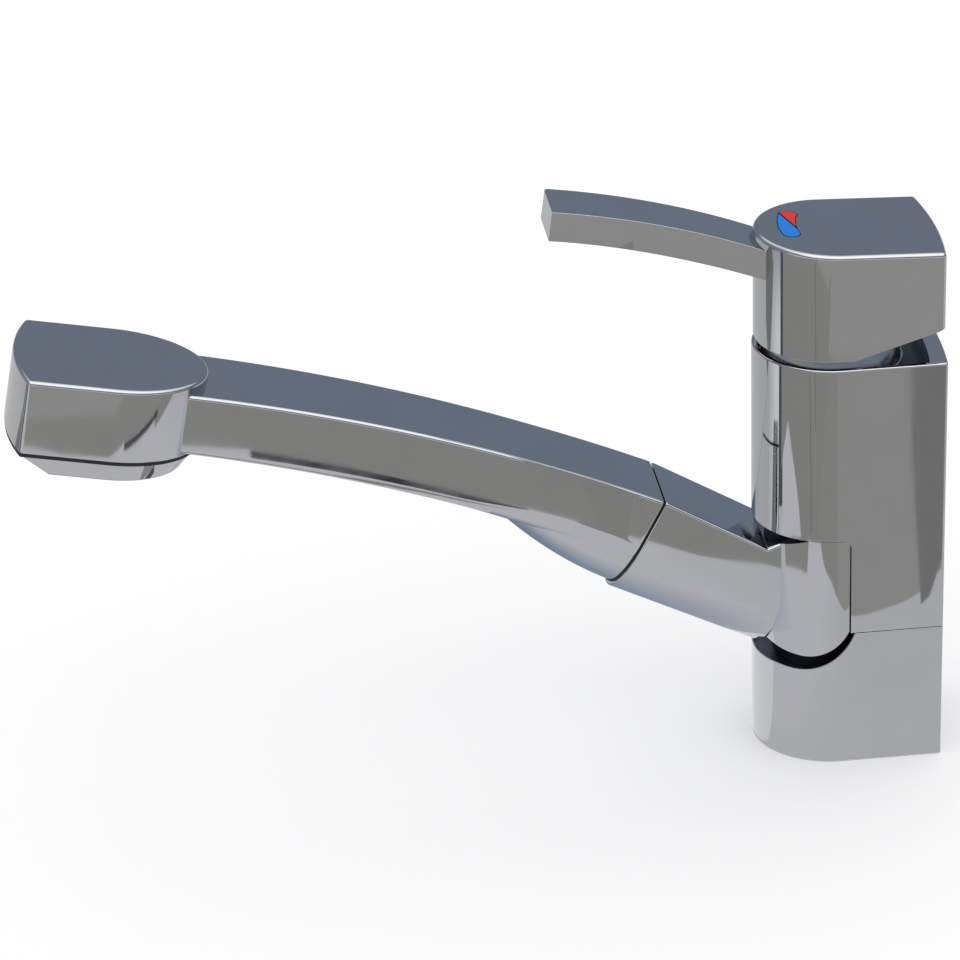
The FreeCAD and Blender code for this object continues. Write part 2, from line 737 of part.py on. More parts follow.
def make_grub_screw():
    start = stem_half + run_gap
    screw = Part.makeCylinder(grub_r - run_gap, grub_len, V(start, 0, grub_z), V(1, 0, 0))
    socket = hexagon(grub_hex_r, -grub_hex_depth, grub_hex_depth + 1)
    socket.rotate(V(0, 0, 0), Y_AXIS, 90)
    socket.translate(V(start + grub_len, 0, grub_z))
    return screw.cut(socket)


def make_screw_plug():
    """Small plug that closes the way to the grub screw in the cap's rear."""
    outer = col_len - cap_inset + col_bow
    pin = Part.makeCylinder(grub_r, plug_t, V(outer - plug_t, 0, grub_z), V(1, 0, 0))
    return pin.common(column(cap_inset, rim_z, cap_top))


# Spout

def make_spout_holder():
    """Swivel sleeve with the short arm and its dock, one casting."""
    joint = in_dock(section(0, arm_half, 0, -side_h, -dock_h, edge_r))
    root = section(root_x, arm_half, root_top, root_top - root_side, root_bottom, edge_r)
    waist = section(waist_x, arm_half, root_top, root_top - root_side, root_bottom, edge_r)
    arm = Part.makeLoft([joint, root], True, True).fuse(Part.makeLoft([root, waist], True, True))
    outer_r = bore_r - sleeve_gap
    arm = arm.cut(tube(outer_r - relief_bite, relief_r, 0, relief_top))
    z0 = seat_z + glide_floor + end_gap
    z1 = sleeve_top - end_gap
    neck_r = bore_r - glide_t - run_gap
    collar0 = seat_z + glide_floor + glide_h + fit_gap
    collar1 = sleeve_top - glide_h - fit_gap
    sleeve = turned([(sleeve_in_r, z0), (neck_r, z0), (neck_r, collar0), (outer_r, collar0),
                     (outer_r, collar1), (neck_r, collar1), (neck_r, z1), (sleeve_in_r, z1)])
    body = arm.cut(cylinder(sleeve_in_r, z0, z1)).fuse(sleeve).removeSplitter()
    way = Part.Face(section(-1, arm_half - dock_wall, -dock_wall, -side_h, dock_floor_wall - dock_h))
    way = in_dock(way.extrude(V(dock_way, 0, 0)))
    way = way.common(block(-2 * col_half + joint_x, 0, -col_half, col_half, dock_floor_z, joint_z))
    return body.cut(way).cut(cylinder(sleeve_in_r, z0 - 1, z1 + 1))


def make_dock_liner():
    """Plastic liner of the dock, with the dark lip that shows in the joint."""
    wall = dock_wall
    floor = dock_floor_wall - dock_h
    skin = Part.Face(section(0, arm_half - wall, -wall, -side_h, floor)).extrude(V(liner_depth, 0, 0))
    inner = Part.Face(section(-liner_t, arm_half - wall - liner_t, -wall - liner_t, -side_h,
                              floor + liner_t)).extrude(V(liner_depth + 2 * liner_t, 0, 0))
    lip = Part.Face(section(-liner_lip, arm_half - liner_set, -liner_set, -side_h,
                            liner_set - dock_h)).extrude(V(liner_lip, 0, 0))
    return in_dock(skin.fuse(lip).removeSplitter().cut(inner))


# Spray

def belly_floor(a):
    """Depth of the belly's underside along the dock's axis; it rises towards the head."""
    end = dock_h - belly_drop
    return -end + belly_curve * a * a + belly_rise * a


def bar_solid(back0, back1, inset=0.0):
    """Stretch of the bar, or of its hollow, between two places before the joint."""
    steps = 5
    wires = []
    for i in range(steps):
        back = back0 + (back1 - back0) * i / (steps - 1)
        share = back / bar_span
        flat = bar_flat_joint + (bar_flat_head - bar_flat_joint) * share
        depth = bar_h_joint + (bar_h_head - bar_h_joint) * share
        wires.append(on_arc(bar_section(flat, depth, inset), back))
    return Part.makeLoft(wires, True, False)


def make_spray_body():
    bar = bar_solid(-bar_over, bar_span)
    bellies = []
    for a in belly_places:
        top = -side_h + belly_side_fall * a
        bellies.append(in_dock(section(a, belly_half, top + belly_cover, top, belly_floor(a))))
    belly = Part.makeLoft(bellies, True, False)
    shell = head_plan(0, -head_h, 0, corner_r)
    shell = shell.makeFillet(head_round, top_edges(shell, 0))
    body = bar.fuse([belly, in_head(shell)]).removeSplitter()
    beyond = in_dock(block(-joint_gap, 2 * dock_h, -2 * arm_half, 2 * arm_half, -2 * dock_h, dock_h))
    body = body.cut(beyond)
    body = body.cut(in_head(head_plan(0, -2 * head_h, -head_h)))
    body = body.cut(in_head(head_plan(head_wall, -2 * head_h, -head_roof)))
    pocket = Part.Face(section(-plug_root - run_gap, plug_half() + run_gap, plug_top() + run_gap,
                               -side_h, plug_floor() - run_gap))
    body = body.cut(in_dock(pocket.extrude(V(plug_root + 2 * joint_gap, 0, 0))))
    hollow = bar_solid(arc_back_at(plug_root + 2 * bar_wall), bar_span, bar_wall)
    body = body.cut(hollow)
    return body.cut(tube_way(tube_r + run_gap, tube_start() - tube_root_play, bar_span - tube_short / 2))


def plug_half():
    return arm_half - dock_wall - liner_t - plug_gap


def plug_top():
    return -dock_wall - liner_t - plug_gap


def plug_floor():
    return dock_floor_wall + liner_t + plug_gap - dock_h


def tube_way(radius, back0, back1):
    """Round bar that follows the bar's arc, between two places before the joint."""
    disc = Part.Face(Part.Wire(Part.makeCircle(radius, V(0, 0, -tube_depth), V(1, 0, 0))))
    disc = on_arc(disc, back0)
    centre = V(joint_x - arm_r * math.sin(math.radians(arm_slope)), 0,
               joint_z - arm_r * math.cos(math.radians(arm_slope)))
    return disc.revolve(centre, V(0, -1, 0), back1 - back0)


def arc_back_at(a):
    """Degrees before the joint at which the bar's arc has run this far."""
    return math.degrees(a / arm_r)


def make_docking_plug():
    solid = Part.Face(section(-plug_root, plug_half(), plug_top(), -side_h, plug_floor()))
    solid = solid.extrude(V(plug_root + plug_depth, 0, 0))
    level = -tube_depth
    socket = Part.makeCylinder(socket_r, socket_len, V(plug_depth - socket_len, 0, level), V(1, 0, 0))
    seat_start = plug_depth - socket_len - washer_t
    seat = Part.makeCylinder(washer_r, washer_t + 1, V(seat_start, 0, level), V(1, 0, 0))
    way = Part.makeCylinder(tube_in_r, plug_root + plug_depth + 2, V(-plug_root - 1, 0, level), V(1, 0, 0))
    cavity = Part.makeCylinder(valve_r, valve_len, V(seat_start - valve_len, 0, level), V(1, 0, 0))
    return in_dock(solid.cut(socket).cut(seat).cut(way).cut(cavity))


def make_check_valve():
    """Push-in non-return valve: a cage with a poppet on its own stem."""
    x0 = plug_depth - socket_len - washer_t - valve_len
    level = -tube_depth
    cage = Part.makeCylinder(valve_r, valve_len, V(x0, 0, level), V(1, 0, 0))
    inside = Part.makeCylinder(valve_r - valve_wall, valve_len + 2, V(x0 - 1, 0, level), V(1, 0, 0))
    cage = cage.cut(inside)
    rib_half = valve_r - 0.5 * valve_wall
    for side in (0, 90):
        rib = Part.makeBox(valve_rib, 2 * rib_half, valve_rib,
                           V(x0 + 2 * valve_rib, -rib_half, -valve_rib / 2))
        rib.rotate(V(0, 0, 0), V(1, 0, 0), side)
        rib.translate(V(0, 0, level))
        cage = cage.fuse(rib)
    poppet = Part.makeCone(poppet_r, valve_rib, poppet_r, V(x0 + 3 * valve_rib - 0.1, 0, level), V(1, 0, 0))
    return in_dock(cage.fuse(poppet).removeSplitter())


def make_inlet_screen():
    """Flat sealing washer with a sieve, at the bottom of the hose socket."""
    x0 = plug_depth - socket_len - washer_t
    level = -tube_depth
    washer = Part.makeCylinder(washer_r, washer_t, V(x0, 0, level), V(1, 0, 0))
    for y, z in [(0, 0)] + ring_places(sieve_step, 2):
        hole = Part.makeCylinder(sieve_r, washer_t + 2, V(x0 - 1, y, level + z), V(1, 0, 0))
        washer = washer.cut(hole)
    return in_dock(washer)


def make_water_tube():
    outer = tube_way(tube_r, tube_start(), tube_end())
    return outer.cut(tube_way(tube_in_r, tube_start() - 0.2, tube_end() + 0.2))


def tube_start():
    return arc_back_at(plug_root + tube_play)


def tube_end():
    return bar_span - tube_short


def make_head_chamber():
    """Plastic block in the head that leads the water down to the aerator."""
    body = head_plan(head_wall + fit_gap, -head_roof - chamber_h, -head_roof - fit_gap)
    low = -head_roof - chamber_h - 1
    body = body.cut(cylinder(aerator_r + run_gap, low, -aerator_seat + aerator_seal_t))
    body = body.cut(cylinder(chamber_way_r, low, -inlet_depth + chamber_way_roof))
    inlet = Part.makeCylinder(tube_in_r, head_nose, V(0, 0, -inlet_depth), V(1, 0, 0))
    body = body.cut(inlet)
    for side in (-1, 1):
        body = body.cut(cylinder(cover_screw_r, low, low + screw_way, cover_screw_x, side * cover_screw_y))
    return in_head(body)


def make_head_gasket():
    z1 = -head_h
    ring = head_plan(seal_inset, z1 - seal_t, z1)
    ring = ring.cut(head_plan(seal_inset + seal_w, z1 - 2 * seal_t, z1 + 1))
    return in_head(ring)


def cover_plan(side, tip, nose, z):
    wire = plan(head_half - cover_inset - side, head_len - cover_inset - tip, head_bow, z,
                head_nose - cover_inset - nose)
    wire.rotate(V(0, 0, 0), Z_AXIS, 180)
    return wire


def make_head_cover():
    z1 = -head_h - seal_t
    z0 = z1 - cover_h
    cover = Part.makeLoft([cover_plan(0, 0, 0, z1),
                           cover_plan(cover_side_draft, cover_tip_draft, cover_draft, z0)], True, True)
    cover = cover.cut(cylinder(aerator_r + fit_gap, z0 - 1, z1 + 1))
    for side in (-1, 1):
        y = side * cover_screw_y
        cover = cover.cut(cylinder(cover_screw_r + cover_screw_gap, z0 - 1, z1 + 1, cover_screw_x, y))
        cover = cover.cut(cylinder(2 * cover_screw_r + cover_screw_gap, z0 - 1, z0 + cover_screw_sink,
                                   cover_screw_x, y))
    return in_head(cover)


def make_cover_screws():
    z0 = -head_h - seal_t - cover_h
    screws = []
    for side in (-1, 1):
        y = side * cover_screw_y
        head = cylinder(2 * cover_screw_r, z0 + cross_w, z0 + cover_screw_sink, cover_screw_x, y)
        end = -head_roof - chamber_h + cover_screw_end
        shank = cylinder(cover_screw_r - run_gap, z0 + cover_screw_sink - cross_w, end, cover_screw_x, y)
        slot = block(cover_screw_x - cross_half, cover_screw_x + cross_half, y - cross_w, y + cross_w,
                     z0, z0 + cover_screw_sink / 2)
        cross = block(cover_screw_x - cross_w, cover_screw_x + cross_w, y - cross_half, y + cross_half,
                      z0, z0 + cover_screw_sink / 2)
        screws.append(head.fuse(shank).removeSplitter().cut(slot).cut(cross))
    return in_head(Part.makeCompound(screws))


def aerator_low():
    return -head_h - seal_t - cover_h - aerator_out


def make_aerator_housing():
    low = aerator_low()
    body = tube(aerator_in_r, aerator_r, low, -aerator_seat)
    lip = tube(aerator_in_r - aerator_lip, aerator_in_r + 0.5, low, low + aerator_lip_t)
    body = body.fuse(lip).removeSplitter()
    return in_head(body)


def ring_places(step, rings):
    """Places of holes in rings: six in the first and six more in each further one."""
    places = []
    for ring in range(1, rings + 1):
        for i in range(6 * ring):
            turn = math.pi * i / (3 * ring)
            places.append((ring * step * math.cos(turn), ring * step * math.sin(turn)))
    return places


def make_aerator_core():
    """Jet former: a plate with a ring of holes over a honeycomb of straight ways."""
    low = aerator_low() + aerator_lip_t + end_gap
    top = -aerator_seat - 2 * end_gap - screen_t - end_gap
    body = cylinder(aerator_in_r - run_gap, low, top)
    body = body.cut(cylinder(aerator_in_r - aerator_seal_w, low + 2 * jet_plate, top - jet_plate))
    for x, y in ring_places(jet_step, 3):
        body = body.cut(cylinder(aerator_hole_r, low - 1, -aerator_seat, x, y))
    return in_head(body)


def make_aerator_screen():
    top = -aerator_seat - 2 * end_gap
    disc = cylinder(aerator_in_r - run_gap, top - screen_t, top)
    for x, y in ring_places(screen_step, 2):
        disc = disc.cut(cylinder(screen_hole_r, top - 2 * screen_t, top + 1, x, y))
    return in_head(disc)


def make_aerator_seal():
    ring = tube(aerator_in_r - aerator_seal_w, aerator_r, -aerator_seat, -aerator_seat + aerator_seal_t)
    return in_head(ring)


NODES = {
    "base_casting": make_base,
    "base_gasket": make_base_gasket,
    "body_screws": make_body_screws,
    "hose_guide": make_hose_guide,
    "upper_body": make_upper_body,
    "lower_glide_ring": make_lower_glide,
    "upper_glide_ring": make_upper_glide,
    "cartridge_base": make_cartridge_base,
    "cartridge_seals": make_cartridge_seals,
    "cartridge_housing": make_cartridge_housing,
    "fixed_disc": make_fixed_disc,
    "moving_disc": make_moving_disc,
    "disc_carrier": make_disc_carrier,
    "cartridge_rotor": make_rotor,
    "lever_pin": make_lever_pin,
    "lever_stem": make_stem,
    "cartridge_nut": make_cartridge_nut,
    "dome_cover": make_dome,
    "handle": make_handle,
    "handle_grub_screw": make_grub_screw,
    "screw_hole_plug": make_screw_plug,
    "spout_holder": make_spout_holder,
    "dock_liner": make_dock_liner,
    "spray_body": make_spray_body,
    "docking_plug": make_docking_plug,
    "check_valve": make_check_valve,
    "inlet_screen": make_inlet_screen,
    "water_tube": make_water_tube,
    "head_chamber": make_head_chamber,
    "head_gasket": make_head_gasket,
    "head_cover": make_head_cover,
    "cover_screws": make_cover_screws,
    "aerator_housing": make_aerator_housing,
    "aerator_core": make_aerator_core,
    "aerator_screen": make_aerator_screen,
    "aerator_seal": make_aerator_seal,
}

os.makedirs("parts", exist_ok=True)
for node, make in NODES.items():
    save(make(), node)
save(mark_half(1), "hot_mark")
save(mark_half(-1), "cold_mark")
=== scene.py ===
import json
import math

import bmesh
import bpy
from mathutils import Matrix, Vector


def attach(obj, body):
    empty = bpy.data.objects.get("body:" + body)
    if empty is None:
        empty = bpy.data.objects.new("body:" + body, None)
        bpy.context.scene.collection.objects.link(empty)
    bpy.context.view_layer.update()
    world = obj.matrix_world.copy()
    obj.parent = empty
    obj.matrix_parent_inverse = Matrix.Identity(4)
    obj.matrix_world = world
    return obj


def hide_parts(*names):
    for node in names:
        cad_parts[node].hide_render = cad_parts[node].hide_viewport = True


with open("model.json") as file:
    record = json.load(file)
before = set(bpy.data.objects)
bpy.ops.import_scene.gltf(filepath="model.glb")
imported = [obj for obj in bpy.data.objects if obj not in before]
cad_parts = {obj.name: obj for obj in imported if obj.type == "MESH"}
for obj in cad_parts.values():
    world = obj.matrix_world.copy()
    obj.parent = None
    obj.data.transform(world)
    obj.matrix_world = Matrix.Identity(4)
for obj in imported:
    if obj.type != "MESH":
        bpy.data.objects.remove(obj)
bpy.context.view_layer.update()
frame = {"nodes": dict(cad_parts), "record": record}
mm = 0.001


# Camera: a long lens that looks down on the tap from the front, a little from the spout's side. It
# stands 1.4 m away, so that the column's upright edges run nearly parallel.
eye = Vector((-228.05, -1173.26, 667.46)) * mm
right = Vector((0.99291, -0.11535, -0.02882))
down = Vector((-0.07614, -0.43068, -0.89929))
ahead = Vector((0.09132, 0.8951, -0.43641))
camera = bpy.data.objects.new("camera", bpy.data.cameras.new("camera"))
bpy.context.scene.collection.objects.link(camera)
turn = Matrix((right, -down, -ahead)).transposed()
camera.matrix_world = Matrix.Translation(eye) @ turn.to_4x4()
camera.data.sensor_width = 36
camera.data.lens = 160.818
camera.data.clip_start = 0.05
camera.data.clip_end = 20
bpy.context.scene.camera = camera


# Base casting: cast brass, polished and chromium plated. Its plan has a round front, straight sides
# and a slightly bowed rear; the top is cut down to a saddle, in which the spout swings.
def feed(made, node, sources):
    """Links each source to the node's input of that name."""
    for name, source in dict(sources).items():
        made.node_tree.links.new(source, node.inputs[name])


def added(made, kind, values=(), sources=()):
    """Adds a node to the finish, with values set on its inputs and sources linked to them."""
    node = made.node_tree.nodes.new(kind)
    for name, value in dict(values).items():
        node.inputs[name].default_value = value
    feed(made, node, sources)
    return node


def blank_finish(name):
    """New finish, with its shader and the piece's own coordinates."""
    made = bpy.data.materials.new(name)
    made.use_nodes = True
    place = added(made, "ShaderNodeTexCoord").outputs["Object"]
    return made, made.node_tree.nodes["Principled BSDF"], place


def blended(made, value, stops):
    """Colour that runs through the stops as the value rises."""
    ramp = added(made, "ShaderNodeValToRGB", {}, {"Fac": value})
    points = ramp.color_ramp.elements
    for i, (position, colour) in enumerate(stops):
        point = points[i] if i < 2 else points.new(position)
        point.position = position
        point.color = (*colour, 1)
    return ramp.outputs["Color"]


def darker(colour, share):
    return [c * share for c in colour]


def chrome_finish(name, colour, rough):
    """Polished plate: a mirror with a faint haze of wiping marks and a very slight waviness."""
    made, shader, place = blank_finish(name)
    shader.inputs["Metallic"].default_value = 1.0
    haze = added(made, "ShaderNodeTexNoise", {"Scale": 55, "Detail": 5}, {"Vector": place}).outputs["Fac"]
    spread = added(made, "ShaderNodeMapRange",
                   {"From Min": 0.35, "From Max": 0.75, "To Min": rough, "To Max": rough + 0.035},
                   {"Value": haze})
    wave = added(made, "ShaderNodeTexNoise", {"Scale": 22, "Detail": 1}, {"Vector": place})
    bump = added(made, "ShaderNodeBump", {"Strength": 0.05, "Distance": 0.0004},
                 {"Height": wave.outputs["Fac"]})
    feed(made, shader, {"Base Color": blended(made, haze, [(0.3, darker(colour, 0.96)), (0.7, colour)]),
                        "Roughness": spread.outputs["Result"],
                        "Normal": bump.outputs["Normal"]})
    return made


def points_in(geom):
    """The vertices among what an operator gives back."""
    return [v for v in geom if isinstance(v, bmesh.types.BMVert)]


def d_outline(bm, half, nose, length, bow, stops):
    """Closed outline: round or oval nose to -X, straight sides with a point at each stop, bowed rear."""
    first = bm.verts.new((0, -half, 0))
    arc = bmesh.ops.spin(bm, geom=[first], cent=(0, 0, 0), axis=(0, 0, 1), dvec=(0, 0, 0),
                         angle=math.pi, steps=120, use_merge=False)
    for v in bm.verts:
        v.co.x = -abs(v.co.x) * nose / half
    last = points_in(arc["geom_last"])[0]
    for x in list(stops) + [length]:
        last = bmesh.ops.extrude_vert_indiv(bm, verts=[last])["verts"][0]
        last.co.x = x
    radius = (half * half + bow * bow) / (2 * bow)
    span = 2 * math.asin(half / radius)
    centre = (length + bow - radius, 0, 0)
    arc = bmesh.ops.spin(bm, geom=[last], cent=centre, axis=(0, 0, 1), dvec=(0, 0, 0),
                         angle=-span, steps=32, use_merge=False)
    last = points_in(arc["geom_last"])[0]
    for x in list(reversed(stops)) + [0]:
        last = bmesh.ops.extrude_vert_indiv(bm, verts=[last])["verts"][0]
        last.co.x = x
    bmesh.ops.remove_doubles(bm, verts=bm.verts, dist=1e-6)


def level(height):
    """Level line for the underside or the top of a block."""
    return [(-1, height), (1, height)]


def height_on(line, x):
    """Height at x on a line given by its corners."""
    for (x0, z0), (x1, z1) in zip(line, line[1:]):
        if x <= x1:
            return z0 + (z1 - z0) * (x - x0) / (x1 - x0)
    return line[-1][1]


def side_points(line):
    """Where a line bends along the column's straight sides."""
    return [x for x, z in line if 0 < x < 20 * mm]


def d_block(half, nose, length, bow, stops, low, high, bend=None):
    """Solid on that outline. Its underside and top follow the lines low and high; bend = (x0, x1)
    is the stretch of the round nose in which they are curved."""
    bm = bmesh.new()
    d_outline(bm, half, nose, length, bow, stops)
    bmesh.ops.contextual_create(bm, geom=bm.edges[:])
    pairs = {}
    for v in bm.verts:
        inside_nose = bend and bend[0] - 1e-7 < v.co.x < min(0, bend[1]) - 1e-7
        on_side = abs(abs(v.co.y) - half) < 1e-7 and v.co.x < length - 1e-7
        if inside_nose or on_side:
            pairs.setdefault(round(v.co.x, 6), []).append(v)
    for x in sorted(pairs):
        if len(pairs[x]) == 2:
            bmesh.ops.connect_verts(bm, verts=pairs[x])
    grown = bmesh.ops.extrude_face_region(bm, geom=bm.faces[:])["geom"]
    upper = set(points_in(grown))
    for v in bm.verts:
        v.co.z = height_on(high if v in upper else low, v.co.x)
    bmesh.ops.dissolve_limit(bm, angle_limit=0.0005, verts=bm.verts, edges=bm.edges)
    bmesh.ops.recalc_face_normals(bm, faces=bm.faces)
    return bm


def rounded(bm, size, steps, wanted, angle=0.6):
    """Rounds those sharp edges that are wanted, by their middle and their run."""
    picked = [e for e in bm.edges if len(e.link_faces) == 2 and e.calc_face_angle(0) > angle
              and wanted((e.verts[0].co + e.verts[1].co) / 2, (e.verts[1].co - e.verts[0].co))]
    bmesh.ops.bevel(bm, geom=picked, offset=size, segments=steps, profile=0.5, affect="EDGES",
                    material=-1, clamp_overlap=True)


def rear_upright(middle, run):
    """Whether an edge is one of the column's two upright rear edges."""
    return middle.x > 31 * mm and abs(run.z) > 20 * mm


def cylinder(radius, z0, z1, x=0.0, y=0.0, steps=96):
    """Closed upright cylinder, used to bore a hole."""
    bm = bmesh.new()
    shift = Matrix.Translation((x, y, (z0 + z1) / 2))
    bmesh.ops.create_cone(bm, cap_ends=True, segments=steps, radius1=radius, radius2=radius,
                          depth=z1 - z0, matrix=shift)
    return bm


def bored(bm, *cutters):
    """Takes the cutters' solids out of the piece, one after the other."""
    for cutter in cutters:
        blank = bpy.data.objects.new("blank", bpy.data.meshes.new("blank"))
        bm.to_mesh(blank.data)
        tool = bpy.data.objects.new("cutter", bpy.data.meshes.new("cutter"))
        cutter.to_mesh(tool.data)
        cutter.free()
        bpy.context.scene.collection.objects.link(blank)
        bpy.context.scene.collection.objects.link(tool)
        cut = blank.modifiers.new("cut", "BOOLEAN")
        cut.object = tool
        cut.solver = "EXACT"
        bpy.context.view_layer.update()
        left_over = blank.evaluated_get(bpy.context.evaluated_depsgraph_get())
        result = bpy.data.meshes.new_from_object(left_over)
        bm.clear()
        bm.from_mesh(result)
        bpy.data.objects.remove(blank)
        bpy.data.objects.remove(tool)


def piece(bm, name, body, slot, finish, stands_for=(), inner=None, inside=None):
    """Makes the finished mesh an object that rides on its body and stands for its CAD node. The
    faces for which inside says so get the finish inner."""
    for f in bm.faces:
        if inside and inside(f.calc_center_median()):
            f.material_index = 1
    mesh = bpy.data.meshes.new(name)
    bm.to_mesh(mesh)
    bm.free()
    mesh.polygons.foreach_set("use_smooth", [True] * len(mesh.polygons))
    mesh.set_sharp_from_angle(angle=math.radians(32))
    made = bpy.data.objects.new(name, mesh)
    bpy.context.scene.collection.objects.link(made)
    mesh.materials.append(finish)
    if inner:
        mesh.materials.append(inner)
    even = made.modifiers.new("even_shading", "WEIGHTED_NORMAL")
    even.keep_sharp = True
    even.weight = 80
    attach(made, body)
    if stands_for:
        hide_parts(*stands_for)


plate_colour = (0.56, 0.565, 0.575)
chrome = chrome_finish("chrome", plate_colour, 0.035)
# Rough dark finish for faces in bores, grooves and hollows: the roughness is unpolished metal, the dark
# bluish colour is painted shade.
painted_shade_finish = chrome_finish("painted_shade_casting", (0.1, 0.115, 0.14), 0.34)
column_half = 24 * mm
column_length = 31.4 * mm
column_bow = 1.4 * mm
base_height = 44.8 * mm
saddle_low = 31.8 * mm
saddle_start = -15 * mm
saddle_radius = 20 * mm
saddle_turn = math.acos(1 - (base_height - saddle_low) / saddle_radius)
saddle_steps = 39
sleeve_bore = 18 * mm
hub_bore = 23.4 * mm
hose_opening = 15.5 * mm
floor_top = 22 * mm

saddle = [(-1, saddle_low), (saddle_start, saddle_low)]
for i in range(1, saddle_steps + 1):
    tilt = saddle_turn * i / saddle_steps
    saddle.append((saddle_start + saddle_radius * math.sin(tilt),
                   saddle_low + saddle_radius * (1 - math.cos(tilt))))
saddle.append((1, base_height))
bm = d_block(column_half, column_half, column_length, column_bow, side_points(saddle), level(0), saddle,
             (saddle_start, 0))
rounded(bm, 0.8 * mm, 5, rear_upright)
rounded(bm, 0.3 * mm, 3, lambda p, d: p.z > 31 * mm)
bored(bm, cylinder(sleeve_bore, floor_top, 60 * mm), cylinder(hose_opening, -5 * mm, 22.5 * mm),
      cylinder(hub_bore, 29.5 * mm, 60 * mm, steps=160))
# The faces in the hub's bore get the dark finish: painted shade in the recess.
piece(bm, "base_shell", "column", "chrome_plate", chrome, ["base_casting"], inner=painted_shade_finish,
      inside=lambda p: p.z > 5 * mm and p.xy.length < hub_bore + 0.01 * mm)


# Upper body: cast and plated as the base is, on the same plan, and screwed down on it. The window
# at its front lets the spout out; the pocket in its open top takes the cartridge.
window_top = 76.7 * mm
window_rear = 2.5 * mm
window_round = 2.5 * mm
parting_gap = 0.25 * mm
rim = 134 * mm
open_floor = 128.5 * mm
open_half = 22.4 * mm
open_length = 26 * mm
passage_top = 85.5 * mm
pocket_bore = 18.6 * mm
pocket_floor = 96 * mm

under = [(-1, window_top)]
for i in range(0, 25):
    tilt = math.pi / 2 * i / 24
    under.append((window_rear - window_round + window_round * math.sin(tilt),
                  window_top - window_round + window_round * math.cos(tilt)))
under.append((window_rear + 0.01 * mm, base_height + parting_gap))
under.append((1, base_height + parting_gap))
bm = d_block(column_half, column_half, column_length, column_bow, side_points(under), under, level(rim),
             (window_rear - window_round, 0))
rounded(bm, 0.8 * mm, 5, rear_upright)
rounded(bm, 0.6 * mm, 4, lambda p, d: p.z > rim - 0.1 * mm)
rounded(bm, 0.45 * mm, 3, lambda p, d: p.z < 78 * mm and (abs(p.y) > 23 * mm or p.x < 0 or p.x > 31 * mm))
open_top = d_block(open_half, open_half, open_length, column_bow, [], level(open_floor), level(140 * mm))
bored(bm, cylinder(hub_bore, 30 * mm, window_top - 0.1 * mm, steps=160),
      cylinder(sleeve_bore, 30 * mm, passage_top), open_top, cylinder(pocket_bore, pocket_floor, 139 * mm))
rounded(bm, 0.25 * mm, 2, lambda p, d: abs(p.z - rim) < 0.01 * mm)


def in_painted_shade(p):
    """Whether a face lies in the hub's bore or on the floor of the open top, where shade is painted."""
    in_bore = p.z < 90 * mm and p.xy.length < hub_bore + 0.01 * mm
    return in_bore or abs(p.z - open_floor) < 0.05 * mm


piece(bm, "upper_body_shell", "column", "chrome_plate", chrome, ["upper_body"], inner=painted_shade_finish,
      inside=in_painted_shade)


# Dome cover: thin pressed shell, chromium plated with a satin sheen. It closes the cartridge under
# the cap and shows in the gap that widens to the rear.
dome_radius = 22 * mm
dome_hole = 12 * mm
dome_wall = 0.6 * mm
pivot_height = 125 * mm
foot_height = 129.3 * mm
start = math.asin((foot_height - pivot_height) / dome_radius)
end = math.acos(dome_hole / dome_radius)
foot = dome_radius * math.cos(start)
bm = bmesh.new()
edge = bm.verts.new((foot, 0, foot_height))
bmesh.ops.spin(bm, geom=[edge], cent=(0, 0, pivot_height), axis=(0, -1, 0), dvec=(0, 0, 0),
               angle=end - start, steps=32, use_merge=False)
for x, z in ((0.4, 0), (0.4, -0.75)):
    edge = bmesh.ops.extrude_vert_indiv(bm, verts=[edge])["verts"][0]
    edge.co = (foot + x * mm, 0, foot_height + z * mm)
bmesh.ops.spin(bm, geom=bm.verts[:] + bm.edges[:], cent=(0, 0, 0), axis=(0, 0, 1), dvec=(0, 0, 0),
               angle=2 * math.pi, steps=128, use_merge=True)
bmesh.ops.remove_doubles(bm, verts=bm.verts, dist=1e-6)
bmesh.ops.recalc_face_normals(bm, faces=bm.faces)
if max(bm.faces, key=lambda f: f.calc_center_median().z).normal.z < 0:
    bmesh.ops.reverse_faces(bm, faces=bm.faces)
bmesh.ops.solidify(bm, geom=bm.faces[:], thickness=dome_wall)
bmesh.ops.recalc_face_normals(bm, faces=bm.faces)
satin = chrome_finish("satin_chrome", plate_colour, 0.2)
piece(bm, "dome_shell", "column", "chrome_plate", satin, ["dome_cover"])


# Spout holder: chromium plated brass casting of a short arm with the dock in its end. A groove
# under the arm clears the base's front wall, and its root runs into the swivel hub.
def corner_turn(bm, v, y, z, angle, steps):
    """Draws an arc in the YZ plane from v about the centre (y, z) and gives its last point."""
    arc = bmesh.ops.spin(bm, geom=[v], cent=(0, y, z), axis=(1, 0, 0), dvec=(0, 0, 0),
                         angle=angle, steps=steps, use_merge=False)
    return points_in(arc["geom_last"])[0]


def drawn_on(bm, v, y, z):
    """Draws a straight line from v and gives its last point."""
    new = bmesh.ops.extrude_vert_indiv(bm, verts=[v])["verts"][0]
    new.co.y = y
    new.co.z = z
    return new


def section_outline(bm, half, side, depth, flat, corner):
    """Section across the spout: flat top with rounded edges, upright sides and a round underside,
    flat in the middle for the width given."""
    reach = half - flat
    v = bm.verts.new((0, 0, -side - reach))
    if flat > 0:
        v = drawn_on(bm, v, flat, -side - reach)
    v = corner_turn(bm, v, flat, -side, math.pi / 2, 24)
    for p in bm.verts:
        p.co.z = -side + (p.co.z + side) * (depth - side) / reach
    if corner > 0:
        v = drawn_on(bm, v, half, -corner)
        v = corner_turn(bm, v, half - corner, -corner, math.pi / 2, 5)
    else:
        v = drawn_on(bm, v, half, 0)
    drawn_on(bm, v, 0, 0)
    bmesh.ops.mirror(bm, geom=bm.verts[:] + bm.edges[:], axis="Y", merge_dist=1e-6)


